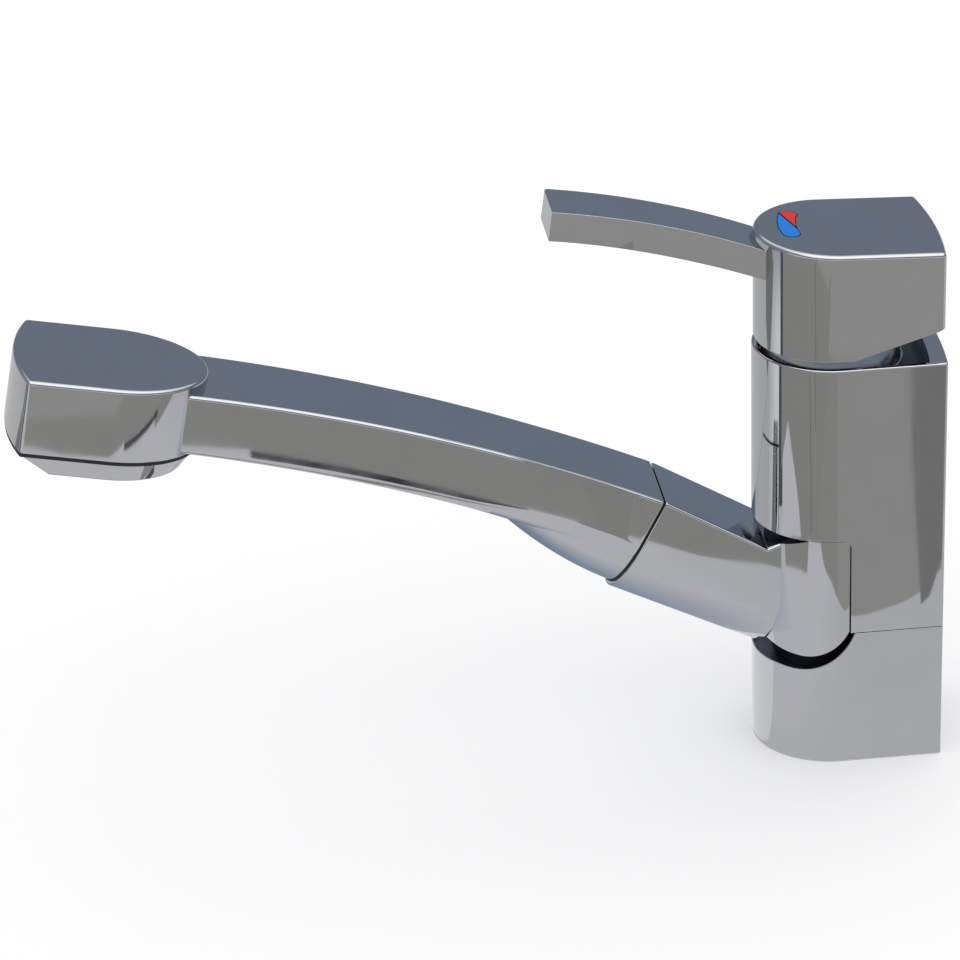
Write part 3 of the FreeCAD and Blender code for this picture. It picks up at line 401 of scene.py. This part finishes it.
def swept(bm, places, warp=None):
    """Draws the outline in bm through the places, one after the other, and closes both ends."""
    tag = bm.verts.layers.int.new("point")
    rim_edges = bm.edges[:]
    outline = [v.co.copy() for v in bm.verts]
    ring = bm.verts[:]
    for i, v in enumerate(ring):
        v[tag] = i
    for count, place in enumerate(places):
        if count:
            grown = bmesh.ops.extrude_edge_only(bm, edges=rim_edges)["geom"]
            ring = points_in(grown)
            rim_edges = [e for e in grown if isinstance(e, bmesh.types.BMEdge)
                         and e.verts[0] in ring and e.verts[1] in ring]
        for v in ring:
            shape = outline[v[tag]]
            v.co = place @ (warp(shape, count / (len(places) - 1)) if warp else shape)
    bmesh.ops.holes_fill(bm, edges=[e for e in bm.edges if e.is_boundary], sides=0)
    bmesh.ops.recalc_face_normals(bm, faces=bm.faces)


def broken_edges(bm, face, size, steps):
    """Breaks the sharp edges round a face."""
    bmesh.ops.bevel(bm, geom=face.edges[:], offset=size, segments=steps, profile=0.5, affect="EDGES",
                    material=-1, clamp_overlap=True)


def end_faces(bm):
    """The faces with many corners, which close a swept piece at its ends."""
    return [f for f in bm.faces if len(f.verts) > 20]


def place_along(face):
    return face.calc_center_median().x


arm_half = 15 * mm
side_depth = 15 * mm
edge_round = 1.1 * mm
joint = Vector((-53, 0, 90.1)) * mm
dock_slope = math.radians(28)
dock_depth = 37 * mm
dock_wall = 2.7 * mm
dock_length = 26 * mm
root = Vector((-21.8, 0, 71.6)) * mm
root_depth = 38.6 * mm
hub_place = Vector((-9.5, 0, 76.4)) * mm
hub_depth = 40 * mm
groove_radius = 25.3 * mm
groove_top = 38.5 * mm
into_dock = Matrix.Translation(joint) @ Matrix.Rotation(dock_slope, 4, "Y")

bm = bmesh.new()
section_outline(bm, arm_half, side_depth, dock_depth, 0, edge_round)
at_root = Matrix.Translation(root) @ Matrix.Diagonal((1, 1, root_depth / dock_depth, 1))
at_hub = Matrix.Translation(hub_place) @ Matrix.Diagonal((1, 1, hub_depth / dock_depth, 1))
swept(bm, [into_dock, at_root, at_hub])
broken_edges(bm, min(bm.faces, key=place_along), 0.5 * mm, 3)
mouth = min(end_faces(bm), key=place_along)
bmesh.ops.inset_region(bm, faces=[mouth], thickness=dock_wall, use_even_offset=True)
deeper = bmesh.ops.extrude_face_region(bm, geom=[mouth])["geom"]
if mouth.is_valid:
    bmesh.ops.delete(bm, geom=[mouth], context="FACES_ONLY")
bmesh.ops.translate(bm, verts=points_in(deeper), vec=into_dock.to_3x3() @ Vector((dock_length, 0, 0)))
bmesh.ops.recalc_face_normals(bm, faces=bm.faces)
bored(bm, cylinder(groove_radius, 20 * mm, groove_top, steps=160))
# The faces of the groove under the arm get the dark finish: painted shade.
piece(bm, "arm_shell", "swivel_arm", "chrome_plate", chrome, ["spout_holder"], inner=painted_shade_finish,
      inside=lambda p: p.z < groove_top + 0.1 * mm and p.xy.length < groove_radius + 0.1 * mm)


# Swivel hub: the round part of the same casting, turned and plated. It fills the window flush with
# the column's front; its underside follows the saddle and its top goes on from the arm's.
hub_radius = 23.2 * mm
hub_round = 15.7 * mm
hub_hole = 14.2 * mm
hub_low = [(-1, 38.6 * mm), (-22 * mm, 38.6 * mm), (-18 * mm, 37.1 * mm), (-15.3 * mm, 36.6 * mm)]
for i in range(0, 25):
    tilt = math.radians(73) * i / 24
    hub_low.append((-12 * mm + hub_round * math.sin(tilt), 36.3 * mm + hub_round * (1 - math.cos(tilt))))
hub_low.append((1, hub_low[-1][1]))
bm = cylinder(hub_radius, 30 * mm, 76.2 * mm, steps=160)
under_hub = d_block(30 * mm, 30 * mm, 30 * mm, 1 * mm, side_points(hub_low), level(20 * mm), hub_low,
                    (-24 * mm, 0))
over_hub = bmesh.new()
rise = math.atan2(hub_place.z - root.z, hub_place.x - root.x)
above = Matrix.Translation(root) @ Matrix.Rotation(-rise, 4, "Y") @ Matrix.Translation((0, 0, 15 * mm))
bmesh.ops.create_cube(over_hub, size=1, matrix=above @ Matrix.Diagonal((80 * mm, 60 * mm, 30 * mm, 1)))
bored(bm, under_hub, over_hub, cylinder(hub_hole, 20 * mm, 90 * mm, steps=160))
rounded(bm, 0.3 * mm, 2, lambda p, d: p.xy.length > hub_radius - 0.3 * mm and abs(d.z) < 0.8 * d.length,
        angle=0.9)
piece(bm, "swivel_hub", "swivel_arm", "chrome_plate", chrome, ["spout_holder"])


# Swivel sleeve: the turned tube inside the hub, one with it. It has the dark finish of painted
# shade, for the hollow it sits in. It runs in a glide ring at each end.
sleeve = [(14.2, 23.6), (16.9, 23.6), (16.9, 29.3), (17.7, 29.3), (17.7, 78.2), (16.9, 78.2),
          (16.9, 83.9), (14.2, 83.9)]
bm = bmesh.new()
chain = [bm.verts.new((r * mm, 0, z * mm)) for r, z in sleeve]
for a, b in zip(chain, chain[1:] + chain[:1]):
    bm.edges.new((a, b))
bmesh.ops.spin(bm, geom=bm.verts[:] + bm.edges[:], cent=(0, 0, 0), axis=(0, 0, 1), dvec=(0, 0, 0),
               angle=2 * math.pi, steps=160, use_merge=True)
bmesh.ops.remove_doubles(bm, verts=bm.verts, dist=1e-6)
bmesh.ops.recalc_face_normals(bm, faces=bm.faces)
piece(bm, "swivel_sleeve", "swivel_arm", "chrome_plate", painted_shade_finish, ["spout_holder"])


# Spray bar: the curved bar of the pull-out spray, a plated plastic moulding that docks in the arm.
# From the joint on, its underside goes from round to nearly flat.
bar_radius = 650 * mm
bar_slope = math.radians(25)
bar_span = math.radians(14.4)
gap = 0.8 * mm
bar_centre = joint - Vector((math.sin(bar_slope), 0, math.cos(bar_slope))) * bar_radius
flat_at_joint = 12 * mm
flat_at_head = 5 * mm
depth_at_joint = 23 * mm
depth_at_head = 20.8 * mm
flat_from = 0.24
flat_over = 0.2
deeper_side = 2.3 * mm
higher_floor = 1.3 * mm
far_side_wider = 0.2


def on_bar(back):
    """Place on the bar's top line, this far round its arc before the joint."""
    turned = Matrix.Translation(bar_centre) @ Matrix.Rotation(bar_slope - back, 4, "Y")
    return turned @ Matrix.Translation((0, 0, bar_radius))


def bar_section(p, share):
    """The section at the joint, changed towards the flatter one at the head."""
    y, z = p.y, p.z
    flatter = min(1, max(0, (share - flat_from) / flat_over))
    flatter = flatter * flatter * (3 - 2 * flatter)
    if z < -side_depth + 1e-7:
        side_now = side_depth + deeper_side * flatter
        flat_now = flat_at_joint + (flat_at_head - flat_at_joint) * share * (1 - flatter)
        deep_now = depth_at_head + (depth_at_joint - depth_at_head) * (1 - share) - higher_floor * flatter
        z = -side_now + (z + side_depth) * (deep_now - side_now) / (depth_at_joint - side_depth)
        beyond = (abs(y) - flat_at_joint) / (arm_half - flat_at_joint)
        if beyond > 0:
            y = math.copysign(flat_now + beyond * (arm_half - flat_now), y)
        else:
            y = y * flat_now / flat_at_joint
    if y > 0:
        y = y * (1 + far_side_wider * max(0, share - 0.3) / 0.7)
    return Vector((p.x, y, z))


def cut_at_joint(bm):
    """Trims the bar or belly square to the dock, a narrow gap before its mouth."""
    face = joint + into_dock.to_3x3() @ Vector((-gap, 0, 0))
    facing = into_dock.to_3x3() @ Vector((1, 0, 0))
    bmesh.ops.bisect_plane(bm, geom=bm.verts[:] + bm.edges[:] + bm.faces[:], dist=1e-7,
                           plane_co=face, plane_no=facing, clear_outer=True)
    bmesh.ops.holes_fill(bm, edges=[e for e in bm.edges if e.is_boundary], sides=0)
    bmesh.ops.recalc_face_normals(bm, faces=bm.faces)


bm = bmesh.new()
section_outline(bm, arm_half, side_depth, depth_at_joint, flat_at_joint, edge_round)
swept(bm, [on_bar(bar_span * i / 60 - math.radians(1.2)) for i in range(0, 66)], bar_section)
cut_at_joint(bm)
broken_edges(bm, max(end_faces(bm), key=place_along), 0.3 * mm, 2)
piece(bm, "spray_bar", "pullout_spray", "chrome_plate", chrome, ["spray_body"])


# Spray belly: the round keel under the bar, moulded with it. It carries on the dock's section and
# runs out to nothing towards the head.
belly_half = 14.3 * mm
belly_side = 3 * mm
belly_drop = 1.7 * mm
belly_length = 59


def belly_run(share):
    """Distance along the dock's axis, from just behind the joint towards the head."""
    return (1 - belly_length * share) * mm


def belly_top(run):
    return -side_depth + 0.09 * run


def belly_depth(run):
    floor = -(dock_depth - belly_drop) + 4.5 * run * run + 0.004 * run
    return max(belly_top(run) - floor, 0.4 * mm)


def belly_place(run):
    return into_dock @ Matrix.Translation((run, 0, belly_top(run) + belly_side))


def belly_section(p, share):
    """Makes the round underside as deep as the belly is there."""
    z = p.z
    if z <= -belly_side:
        z = -belly_side + (z + belly_side) * belly_depth(belly_run(share)) / belly_half
    return Vector((p.x, p.y, z))


bm = bmesh.new()
section_outline(bm, belly_half, belly_side, belly_side + belly_half, 0, 0)
swept(bm, [belly_place(belly_run(i / 40)) for i in range(0, 41)], belly_section)
cut_at_joint(bm)
piece(bm, "spray_belly", "pullout_spray", "chrome_plate", chrome)


# Spray head: the flat housing at the bar's end, moulded with it and plated. Its round side meets
# the bar and its bowed end points away from the column.
head_place = (Matrix.Translation(Vector((-216.75, 0, 144.9)) * mm)
              @ Matrix.Rotation(math.radians(10.95), 4, "Y"))
turned_about = Matrix.Rotation(math.pi, 4, "Z")
head_half = 23.5 * mm
head_nose = 28.5 * mm
head_length = 26.2 * mm
head_bow = 4.1 * mm
head_height = 23.2 * mm


def head_block(inset, low, high):
    """Solid on the head's outline, drawn in by the inset."""
    return d_block(head_half - inset, head_nose - inset, head_length - inset, head_bow, [],
                   level(low), level(high))


def head_piece(bm, *as_piece):
    """Sets a piece of the head in its place and finishes it."""
    bmesh.ops.transform(bm, matrix=head_place @ turned_about, verts=bm.verts)
    piece(bm, *as_piece)


bm = head_block(0, -head_height, 0)
rounded(bm, 1.2 * mm, 5, lambda p, d: p.z > -0.1 * mm or (p.x > 26 * mm and abs(d.z) > 10 * mm))
rounded(bm, 0.3 * mm, 2, lambda p, d: p.z < -head_height + 0.1 * mm)
head_piece(bm, "spray_head", "pullout_spray", "chrome_plate", chrome)


# Head cover: separate plated moulding that closes the head from below, with tapered sides. Two
# screws hold it, and the aerator sits in its round opening.
cover_top = -head_height - 1.3 * mm
cover_height = 6 * mm
cover_inset = 1 * mm
cover_opening = 12.3 * mm
screw_place = 14 * mm
screw_side = 14.5 * mm
screw_head = 3.2 * mm
screw_seat = 2.2 * mm
screw_hole = 1.7 * mm


def tapered(p):
    """Point of the cover's lower outline below a point of its upper one."""
    if p.x < 0:
        x = p.x * 24 / 27.5
    elif p.x < 25.1 * mm:
        x = p.x * 16.6 / 25.2
    else:
        x = p.x - 8.6 * mm
    return Vector((x, p.y * 20.9 / 22.5, p.z - cover_height))


bm = head_block(cover_inset, cover_top - 0.02 * mm, cover_top)
low_face = min(bm.faces, key=lambda f: f.calc_center_median().z)
lower = bmesh.ops.extrude_face_region(bm, geom=[low_face])["geom"]
bmesh.ops.delete(bm, geom=[low_face], context="FACES_ONLY")
for v in points_in(lower):
    v.co = tapered(v.co)
bmesh.ops.recalc_face_normals(bm, faces=bm.faces)
rounded(bm, 0.6 * mm, 3, lambda p, d: p.z < cover_top - cover_height + 0.2 * mm)
bored(bm, cylinder(cover_opening, cover_top - 10 * mm, cover_top + 5 * mm))
for y in (-screw_side, screw_side):
    seat_top = cover_top - cover_height + screw_seat
    bored(bm, cylinder(screw_head, cover_top - 10 * mm, seat_top, screw_place, y, 40),
          cylinder(screw_hole, cover_top - 9 * mm, cover_top + 5 * mm, screw_place, y, 32))
head_piece(bm, "head_cover_shell", "pullout_spray", "chrome_plate", chrome, ["head_cover"])


# Head gasket: flat black rubber seal, cut from sheet. It is clamped between the head and its cover
# and shows as a black line.
def moulded(name, colour, rough, grain_size, depth):
    """Moulded plastic or rubber: slightly uneven colour, fine spark-eroded texture."""
    made, shader, place = blank_finish(name)
    noise = added(made, "ShaderNodeTexNoise", {"Scale": grain_size, "Detail": 4}, {"Vector": place})
    grain = noise.outputs["Fac"]
    spread = added(made, "ShaderNodeMapRange", {"To Min": rough - 0.08, "To Max": rough + 0.08},
                   {"Value": grain})
    bump = added(made, "ShaderNodeBump", {"Strength": 0.3, "Distance": depth}, {"Height": grain})
    feed(made, shader, {"Base Color": blended(made, grain, [(0, darker(colour, 0.85)), (1, colour)]),
                        "Roughness": spread.outputs["Result"],
                        "Normal": bump.outputs["Normal"]})
    return made


soft_black = moulded("black_rubber", (0.012, 0.012, 0.013), 0.75, 1500, 0.00004)
gasket_inset = 0.3 * mm
bm = head_block(gasket_inset, cover_top, -head_height)
rounded(bm, 0.2 * mm, 2, lambda p, d: p.z < cover_top + 0.1 * mm)
bored(bm, cylinder(12.6 * mm, cover_top - 5 * mm, cover_top + 5 * mm))
for y in (-screw_side, screw_side):
    bored(bm, cylinder(2 * mm, cover_top - 5 * mm, cover_top + 5 * mm, screw_place, y, 32))
head_piece(bm, "head_seal", "pullout_spray", "black_rubber", soft_black, ["head_gasket"])


# Handle cap: plated casting with the column's plan, hollow below, held on the cartridge's stem by a
# grub screw. Its lower edge rises to the rear, so that the gap widens there.
cap_half = column_half - 0.5 * mm
cap_length = 30.4 * mm
cap_bow = 1.8 * mm
cap_low = 136.5 * mm
cap_top = 170.7 * mm
cap_wall = 2.3 * mm
cap_roof = 4 * mm
cut_start = 2.8 * mm
cut_rise = math.tan(math.radians(16.8))
cap_fall = math.tan(math.radians(2.44))
lower_line = [(-1, cap_low), (cut_start, cap_low), (1, cap_low + (1 - cut_start) * cut_rise)]
upper_line = [(-1, cap_top + cap_fall), (1, cap_top - cap_fall)]
bm = d_block(cap_half, cap_half, cap_length, cap_bow, [cut_start], lower_line, upper_line)
rounded(bm, 1.3 * mm, 6, lambda p, d: p.z > 168 * mm or (p.x > 30 * mm and abs(d.z) > 10 * mm))
openings = [f for f in bm.faces if f.normal.z < -0.5]
bmesh.ops.inset_region(bm, faces=openings, thickness=cap_wall, use_even_offset=True)
deeper = bmesh.ops.extrude_face_region(bm, geom=openings)["geom"]
bmesh.ops.delete(bm, geom=[f for f in openings if f.is_valid], context="FACES_ONLY")
for v in points_in(deeper):
    v.co.z = cap_top - cap_roof - v.co.x * cap_fall
bmesh.ops.recalc_face_normals(bm, faces=bm.faces)
rounded(bm, 0.3 * mm, 2, lambda p, d: p.z < 148 * mm and abs(d.z) < 3 * mm and
        (abs(p.y) > 22.5 * mm or (p.x < 2 * mm and p.xy.length > 22.5 * mm) or p.x > 30 * mm))
piece(bm, "handle_cap", "lever_handle", "chrome_plate", chrome, ["handle"])


# Lever: the curved flat bar that leaves the cap's front, one casting with it. Its edges are broken
# and its far tip corner is rounded.
def through(a, b, c, t):
    """Point on the even curve from a through b to c."""
    return a * (1 - t) * (1 - 2 * t) + b * 4 * t * (1 - t) + c * t * (2 * t - 1)


lever_top = [Vector((-20.5, 0, 168.1)) * mm, Vector((-52, 0, 178.9)) * mm, Vector((-85.4, 0, 185.8)) * mm]
lever_low = [Vector((-20.5, 0, 158.6)) * mm, Vector((-54.5, 0, 170.0)) * mm, Vector((-86.7, 0, 176.7)) * mm]
lever_half = 9.6 * mm
bm = bmesh.new()
bmesh.ops.create_grid(bm, x_segments=49, y_segments=1, size=1)
lower = set(points_in(bmesh.ops.extrude_face_region(bm, geom=bm.faces[:])["geom"]))
for v in bm.verts:
    spot = through(*(lever_low if v in lower else lever_top), (v.co.x + 1) / 2)
    v.co = Vector((spot.x, lever_half * (1 if v.co.y > 0 else -1), spot.z))
bmesh.ops.recalc_face_normals(bm, faces=bm.faces)
rounded(bm, 4 * mm, 8, lambda p, d: p.x < -80 * mm and p.y > 5 * mm and abs(d.z) > 5 * mm)
rounded(bm, 0.9 * mm, 5, lambda p, d: p.x < -20.6 * mm)
piece(bm, "handle_lever", "lever_handle", "chrome_plate", chrome)


# Colour mark: filled enamel in the cap's top, red for hot and blue for cold. A black line runs
# round each half.
def enamel(name, colour):
    """Filled colour with a slight orange peel."""
    made, shader, place = blank_finish(name)
    shader.inputs["Roughness"].default_value = 0.5
    shader.inputs["Specular IOR Level"].default_value = 0.1
    grain = added(made, "ShaderNodeTexNoise", {"Scale": 900}, {"Vector": place}).outputs["Fac"]
    bump = added(made, "ShaderNodeBump", {"Strength": 0.1, "Distance": 0.0001}, {"Height": grain})
    feed(made, shader, {"Base Color": blended(made, grain, [(0, darker(colour, 0.9)), (1, colour)]),
                        "Normal": bump.outputs["Normal"]})
    return made


red = enamel("red_enamel", (0.72, 0.032, 0.022))
blue = enamel("blue_enamel", (0.004, 0.2, 0.72))
black_line = enamel("black_line", (0.006, 0.006, 0.008))
tab_height = 0.06 * mm
line_lift = -0.03 * mm
line_width = 0.3 * mm
mark_rim = [(-13.8, 12.9), (-12.4, 13.9), (-10.9, 14.2), (-9.3, 12.8), (-8.0, 10.9), (-9.2, 8.2),
            (-9.6, 5.4), (-10.1, 2.4), (-10.2, -0.6), (-9.9, -4.9), (-11.1, -6.4), (-12.4, -6.9),
            (-14.1, -6.5), (-15.4, -5.4), (-15.9, -1.9), (-16.0, 1.8), (-15.6, 5.3), (-14.9, 9.2)]
hot_rim = mark_rim[0:9]
cold_rim = [mark_rim[0]] + mark_rim[8:]


def tab(points, lift, inset):
    """Thin tab on the cap's top with that outline, drawn in by the inset."""
    bm = bmesh.new()
    ring = [bm.verts.new((x * mm, y * mm, cap_top - x * mm * cap_fall + lift)) for x, y in points]
    face = bm.faces.new(ring)
    bm.normal_update()
    if inset > 0:
        bmesh.ops.inset_region(bm, faces=[face], thickness=inset, use_even_offset=True, use_boundary=True)
        bmesh.ops.delete(bm, geom=[f for f in bm.faces if f is not face], context="FACES")
    grown = bmesh.ops.extrude_face_region(bm, geom=[face])["geom"]
    bmesh.ops.translate(bm, verts=points_in(grown), vec=(0, 0, tab_height))
    bmesh.ops.recalc_face_normals(bm, faces=bm.faces)
    return bm


piece(tab(mark_rim, line_lift, 0), "mark_line", "lever_handle", "black_rubber", black_line)
piece(tab(hot_rim, 0.0, line_width), "hot_tab", "lever_handle", "red_enamel", red, ["hot_mark"])
piece(tab(cold_rim, 0.0, line_width), "cold_tab", "lever_handle", "blue_enamel", blue, ["cold_mark"])


# Parts carried over from the CAD as they are: rubber, plastic, brass, steel and ceramic. Each gets
# the finish that such a part has.
finishes = {
    "black_rubber": soft_black,
    "black_plastic": moulded("black_plastic", (0.018, 0.018, 0.02), 0.45, 1200, 0.00003),
    "grey_plastic": moulded("grey_plastic", (0.17, 0.18, 0.2), 0.45, 1200, 0.00003),
    "white_plastic": moulded("white_plastic", (0.72, 0.72, 0.69), 0.4, 1200, 0.00003),
    "cartridge_plastic": moulded("cartridge_plastic", (0.04, 0.06, 0.09), 0.45, 1200, 0.00003),
    "ceramic": moulded("ceramic", (0.8, 0.79, 0.75), 0.15, 2500, 0.000005),
    "raw_brass": chrome_finish("machined_brass", (0.62, 0.42, 0.16), 0.22),
    "screw_steel": chrome_finish("stainless_steel", (0.5, 0.5, 0.49), 0.25),
    "chrome_plate": chrome,
}
slots = {s["node"]: s["material_slot"] for s in frame["record"]["subparts"]}
for name, node in frame["nodes"].items():
    if not node.hide_render and slots[name] in finishes:
        node.data.materials.clear()
        node.data.materials.append(finishes[slots[name]])


# Floor: a pale matt sheet. It glows a little where it is seen directly or in a mirror, so that it
# shows as white and still keeps the tap's shadow.
def staged(name, bm, finish, seen=True):
    """Puts up a part of the studio. What isn't seen shows only in the polished faces."""
    made = bpy.data.objects.new(name, bpy.data.meshes.new(name))
    bm.to_mesh(made.data)
    bm.free()
    made.data.materials.append(finish)
    made.visible_camera = seen
    made.visible_diffuse = seen
    made.visible_shadow = seen
    bpy.context.scene.collection.objects.link(made)


def worked_out(made, operation, a, b):
    """Value worked out from two others."""
    work = added(made, "ShaderNodeMath", {}, {0: a, 1: b})
    work.operation = operation
    return work.outputs[0]


floor_finish = bpy.data.materials.new("pale_floor")
floor_finish.use_nodes = True
shader = floor_finish.node_tree.nodes["Principled BSDF"]
shader.inputs["Base Color"].default_value = (0.86, 0.86, 0.87, 1)
shader.inputs["Roughness"].default_value = 0.9
shader.inputs["Specular IOR Level"].default_value = 0.1
shader.inputs["Emission Color"].default_value = (1, 1, 1, 1)
ray = added(floor_finish, "ShaderNodeLightPath").outputs
seen = worked_out(floor_finish, "MAXIMUM", ray["Is Camera Ray"], ray["Is Transmission Ray"])
seen = worked_out(floor_finish, "MAXIMUM", seen, ray["Is Glossy Ray"])
glow = added(floor_finish, "ShaderNodeMath", {1: 0.16}, {0: seen})
glow.operation = "MULTIPLY"
feed(floor_finish, shader, {"Emission Strength": glow.outputs[0]})
bm = bmesh.new()
bmesh.ops.create_grid(bm, x_segments=1, y_segments=1, size=6)
staged("floor", bm, floor_finish)


# Reflector cards: grey and pale cards that only the polished faces see. They lie on the floor or
# just above it, and one stands across under the arm.
def glowing(name):
    """Finish that only gives off light, and its light."""
    made = bpy.data.materials.new(name)
    made.use_nodes = True
    made.node_tree.nodes.clear()
    light = added(made, "ShaderNodeEmission", {"Strength": 1.0})
    added(made, "ShaderNodeOutputMaterial", {}, {"Surface": light.outputs["Emission"]})
    return made, light


def card(name, points, colour):
    finish, light = glowing(name)
    light.inputs["Color"].default_value = (*colour, 1)
    bm = bmesh.new()
    bm.faces.new([bm.verts.new(Vector(p) * mm) for p in points])
    staged(name, bm, finish, seen=False)
    return finish, light


def lying(height, outline):
    return [(x, y, height) for x, y in outline]


def standing(x, outline):
    return [(x, y, z) for y, z in outline]


def rising(made, value, start, end):
    """Share that rises from 0 at start to 1 at end."""
    limits = {"From Min": start, "From Max": end}
    return added(made, "ShaderNodeMapRange", limits, {"Value": value}).outputs["Result"]


def own_axes(made):
    """The coordinates X, Y and Z of the surface."""
    place = added(made, "ShaderNodeTexCoord").outputs["Object"]
    return added(made, "ShaderNodeSeparateXYZ", {}, {"Vector": place}).outputs


far = 2500
sheet = (0.735, 0.735, 0.765)
grey = (0.366, 0.362, 0.345)

# The floor as the tap mirrors it: pale before it, darker to the right and behind.
finish, light = card("near_card", lying(0.4, [(-far, -far), (far, -far), (far, 70), (-far, 70)]), sheet)
across = rising(finish, own_axes(finish)["X"], -45 * mm, 15 * mm)
feed(finish, light, {"Color": blended(finish, across, [(0, sheet), (1, (0.66, 0.665, 0.685))])})
card("rear_card", lying(0.5, [(-far, 70), (far, 70), (far, far), (-far, far)]), (0.59, 0.6, 0.61))

# Grey ground in the sides of bar, head, cap and column; its edge draws the border to the pale part.
front_edge = [(400, -190), (80, -120), (45, -90), (37.5, -78), (31, -72), (27, -69.5), (17, -65),
              (12, -64.5), (8, -68), (2, -74), (-9, -85.5), (-22.4, -91), (-30, -95), (-37, -101),
              (-53, -115.5), (-71, -131), (-96, -151), (-121, -171), (-144, -186.5), (-170.7, -202.7),
              (-223, -218.7), (-236.5, -223.5), (-246, -231), (-340, -270), (-700, -390)]
card("front_card", lying(30, front_edge + [(-far, -far), (far, -far)]), grey)
card("column_card", lying(30.1, front_edge[:10] + [(-5, -900), (400, -900)]), (0.405, 0.402, 0.39))
card("far_front_card", lying(30.2, [(far, -257), (-318, -257), (-700, -385), (-far, -far), (far, -far)]),
     (0.43, 0.427, 0.415))
card("right_card", lying(30.3, [(34, -67), (69, -250), (88, -250), (47.5, -98), (38, -72.5)]),
     (0.264, 0.262, 0.26))

# Patches on the floor that show under the arm, on the hub and on the head.
card("bright_card", lying(0.8, [(-24, -10), (-85, -2), (-104, 27), (-79, 68), (-51, 86), (-15, 92), (0, 92),
                                (0, 20)]), (0.92, 0.92, 0.93))
card("hub_card", lying(0.8, [(-146, -26), (-138, -56), (-129, -75), (-115, -95), (-98, -111), (-112, -136),
                             (-126, -126), (-153, -84), (-166, -38)]), grey)
card("wedge_card", lying(0.8, [(-250, 60), (-300, 165), (-far, 1400), (-far, 250)]), (0.24, 0.245, 0.25))
card("dark_wedge", lying(0.9, [(-150, -14), (-150, -29), (-300, -48), (-370, -62), (-420, -105),
                               (-far, -700), (-far, 60), (-300, 0)]), (0.1, 0.11, 0.13))

# Painted shadow: a dark strip along the border, which stands for a shadow on the floor that the bar's side
# mirrors.
strip = [(-82, -139.5)] + front_edge[16:20]
card("painted_shadow_strip", lying(30.4, [(x, y + 1.5) for x, y in strip] + [(x, y + 9) for x, y in reversed(strip)]),
     (0.05, 0.05, 0.055))

# Upright card with two thin lines, mirrored by the column's round front.
card("upright_card", standing(-60, [(-340, 31), (-160, 2), (-132, 15), (-80, 38.5), (-57, 47), (-52, 59),
                                    (-45, 71), (-37, 83), (-30, 95), (-23, 86), (-19, 78), (-19, 171),
                                    (-232, 67)]), (0.35, 0.347, 0.335))
for name, y, z, height in (("line_card_1", -90, 38, 60), ("line_card_2", -108, 68, 62)):
    line = [(y, z), (y + 2.5, z), (y + 10.5, z + height), (y + 8, z + height)]
    card(name, standing(-59.8, line), (0.2, 0.2, 0.195))

# Card that the arm's underside mirrors: pale in front, blue to the rear, and pale by the column.
finish, light = card("under_card", lying(40, [(-112, -25), (-24, -25), (-18, 17), (-12, 80), (-112, 80)]),
                     sheet)
axes = own_axes(finish)
bluer = worked_out(finish, "MULTIPLY", rising(finish, axes["Y"], -25 * mm, 80 * mm),
                   rising(finish, axes["X"], -12 * mm, -36 * mm))
feed(finish, light, {"Color": blended(finish, bluer, [(0, sheet), (0.286, (0.307, 0.4, 0.508)),
                                                      (0.52, (0.228, 0.29, 0.368))])})


# Tent: a dome of soft light round the tap, bluish at the sides and white overhead, and an even
# white surround for the light itself.
def mixed(made, share, a, b):
    """Colour between a and b."""
    mix = added(made, "ShaderNodeMix")
    mix.data_type = "RGBA"
    feed(made, mix, {"Factor": share, "A": a})
    if isinstance(b, tuple):
        mix.inputs["B"].default_value = (*b, 1)
    else:
        feed(made, mix, {"B": b})
    return mix.outputs["Result"]


world = bpy.data.worlds.new("studio")
bpy.context.scene.world = world
world.use_nodes = True
world.node_tree.nodes["Background"].inputs["Color"].default_value = (1, 1, 1, 1)
world.node_tree.nodes["Background"].inputs["Strength"].default_value = 1.0

tent_radius = 3.2
low_sky = [(0.0, (0.19, 0.235, 0.31)), (0.52, (0.225, 0.26, 0.33)), (0.62, (0.9, 0.93, 1))]
front_top = (1.7, 1.7, 1.7)
rear_top = (1.05, 1.05, 1.05)
side_sky = (0.28, 0.33, 0.40)
horizon = (1.2, 1.2, 1.2)
tent_finish, light = glowing("tent")
axes = own_axes(tent_finish)
height = rising(tent_finish, axes["Z"], 0, tent_radius)
front_sky = blended(tent_finish, height, low_sky + [(0.8, front_top), (1.0, front_top)])
rear_sky = blended(tent_finish, height, low_sky + [(0.8, rear_top), (1.0, rear_top)])
sky = mixed(tent_finish, rising(tent_finish, axes["Y"], 0.3, 1.1), front_sky, rear_sky)
to_side = added(tent_finish, "ShaderNodeMapRange", {"From Min": -1.2, "From Max": -2.2},
                {"Value": axes["X"]})
to_side.interpolation_type = "SMOOTHSTEP"
sky = mixed(tent_finish, to_side.outputs["Result"], sky, side_sky)
low_front = worked_out(tent_finish, "MULTIPLY", rising(tent_finish, axes["Z"], 0.55, 0.3),
                       rising(tent_finish, axes["Y"], -0.6, -1.4))
feed(tent_finish, light, {"Color": mixed(tent_finish, low_front, sky, horizon)})
bm = bmesh.new()
bmesh.ops.create_uvsphere(bm, u_segments=64, v_segments=48, radius=tent_radius)
bmesh.ops.bisect_plane(bm, geom=bm.verts[:] + bm.edges[:] + bm.faces[:], plane_co=(0, 0, -0.05),
                       plane_no=(0, 0, 1), clear_inner=True)
staged("tent", bm, tent_finish, seen=False)

bpy.context.scene.view_settings.view_transform = "Standard"
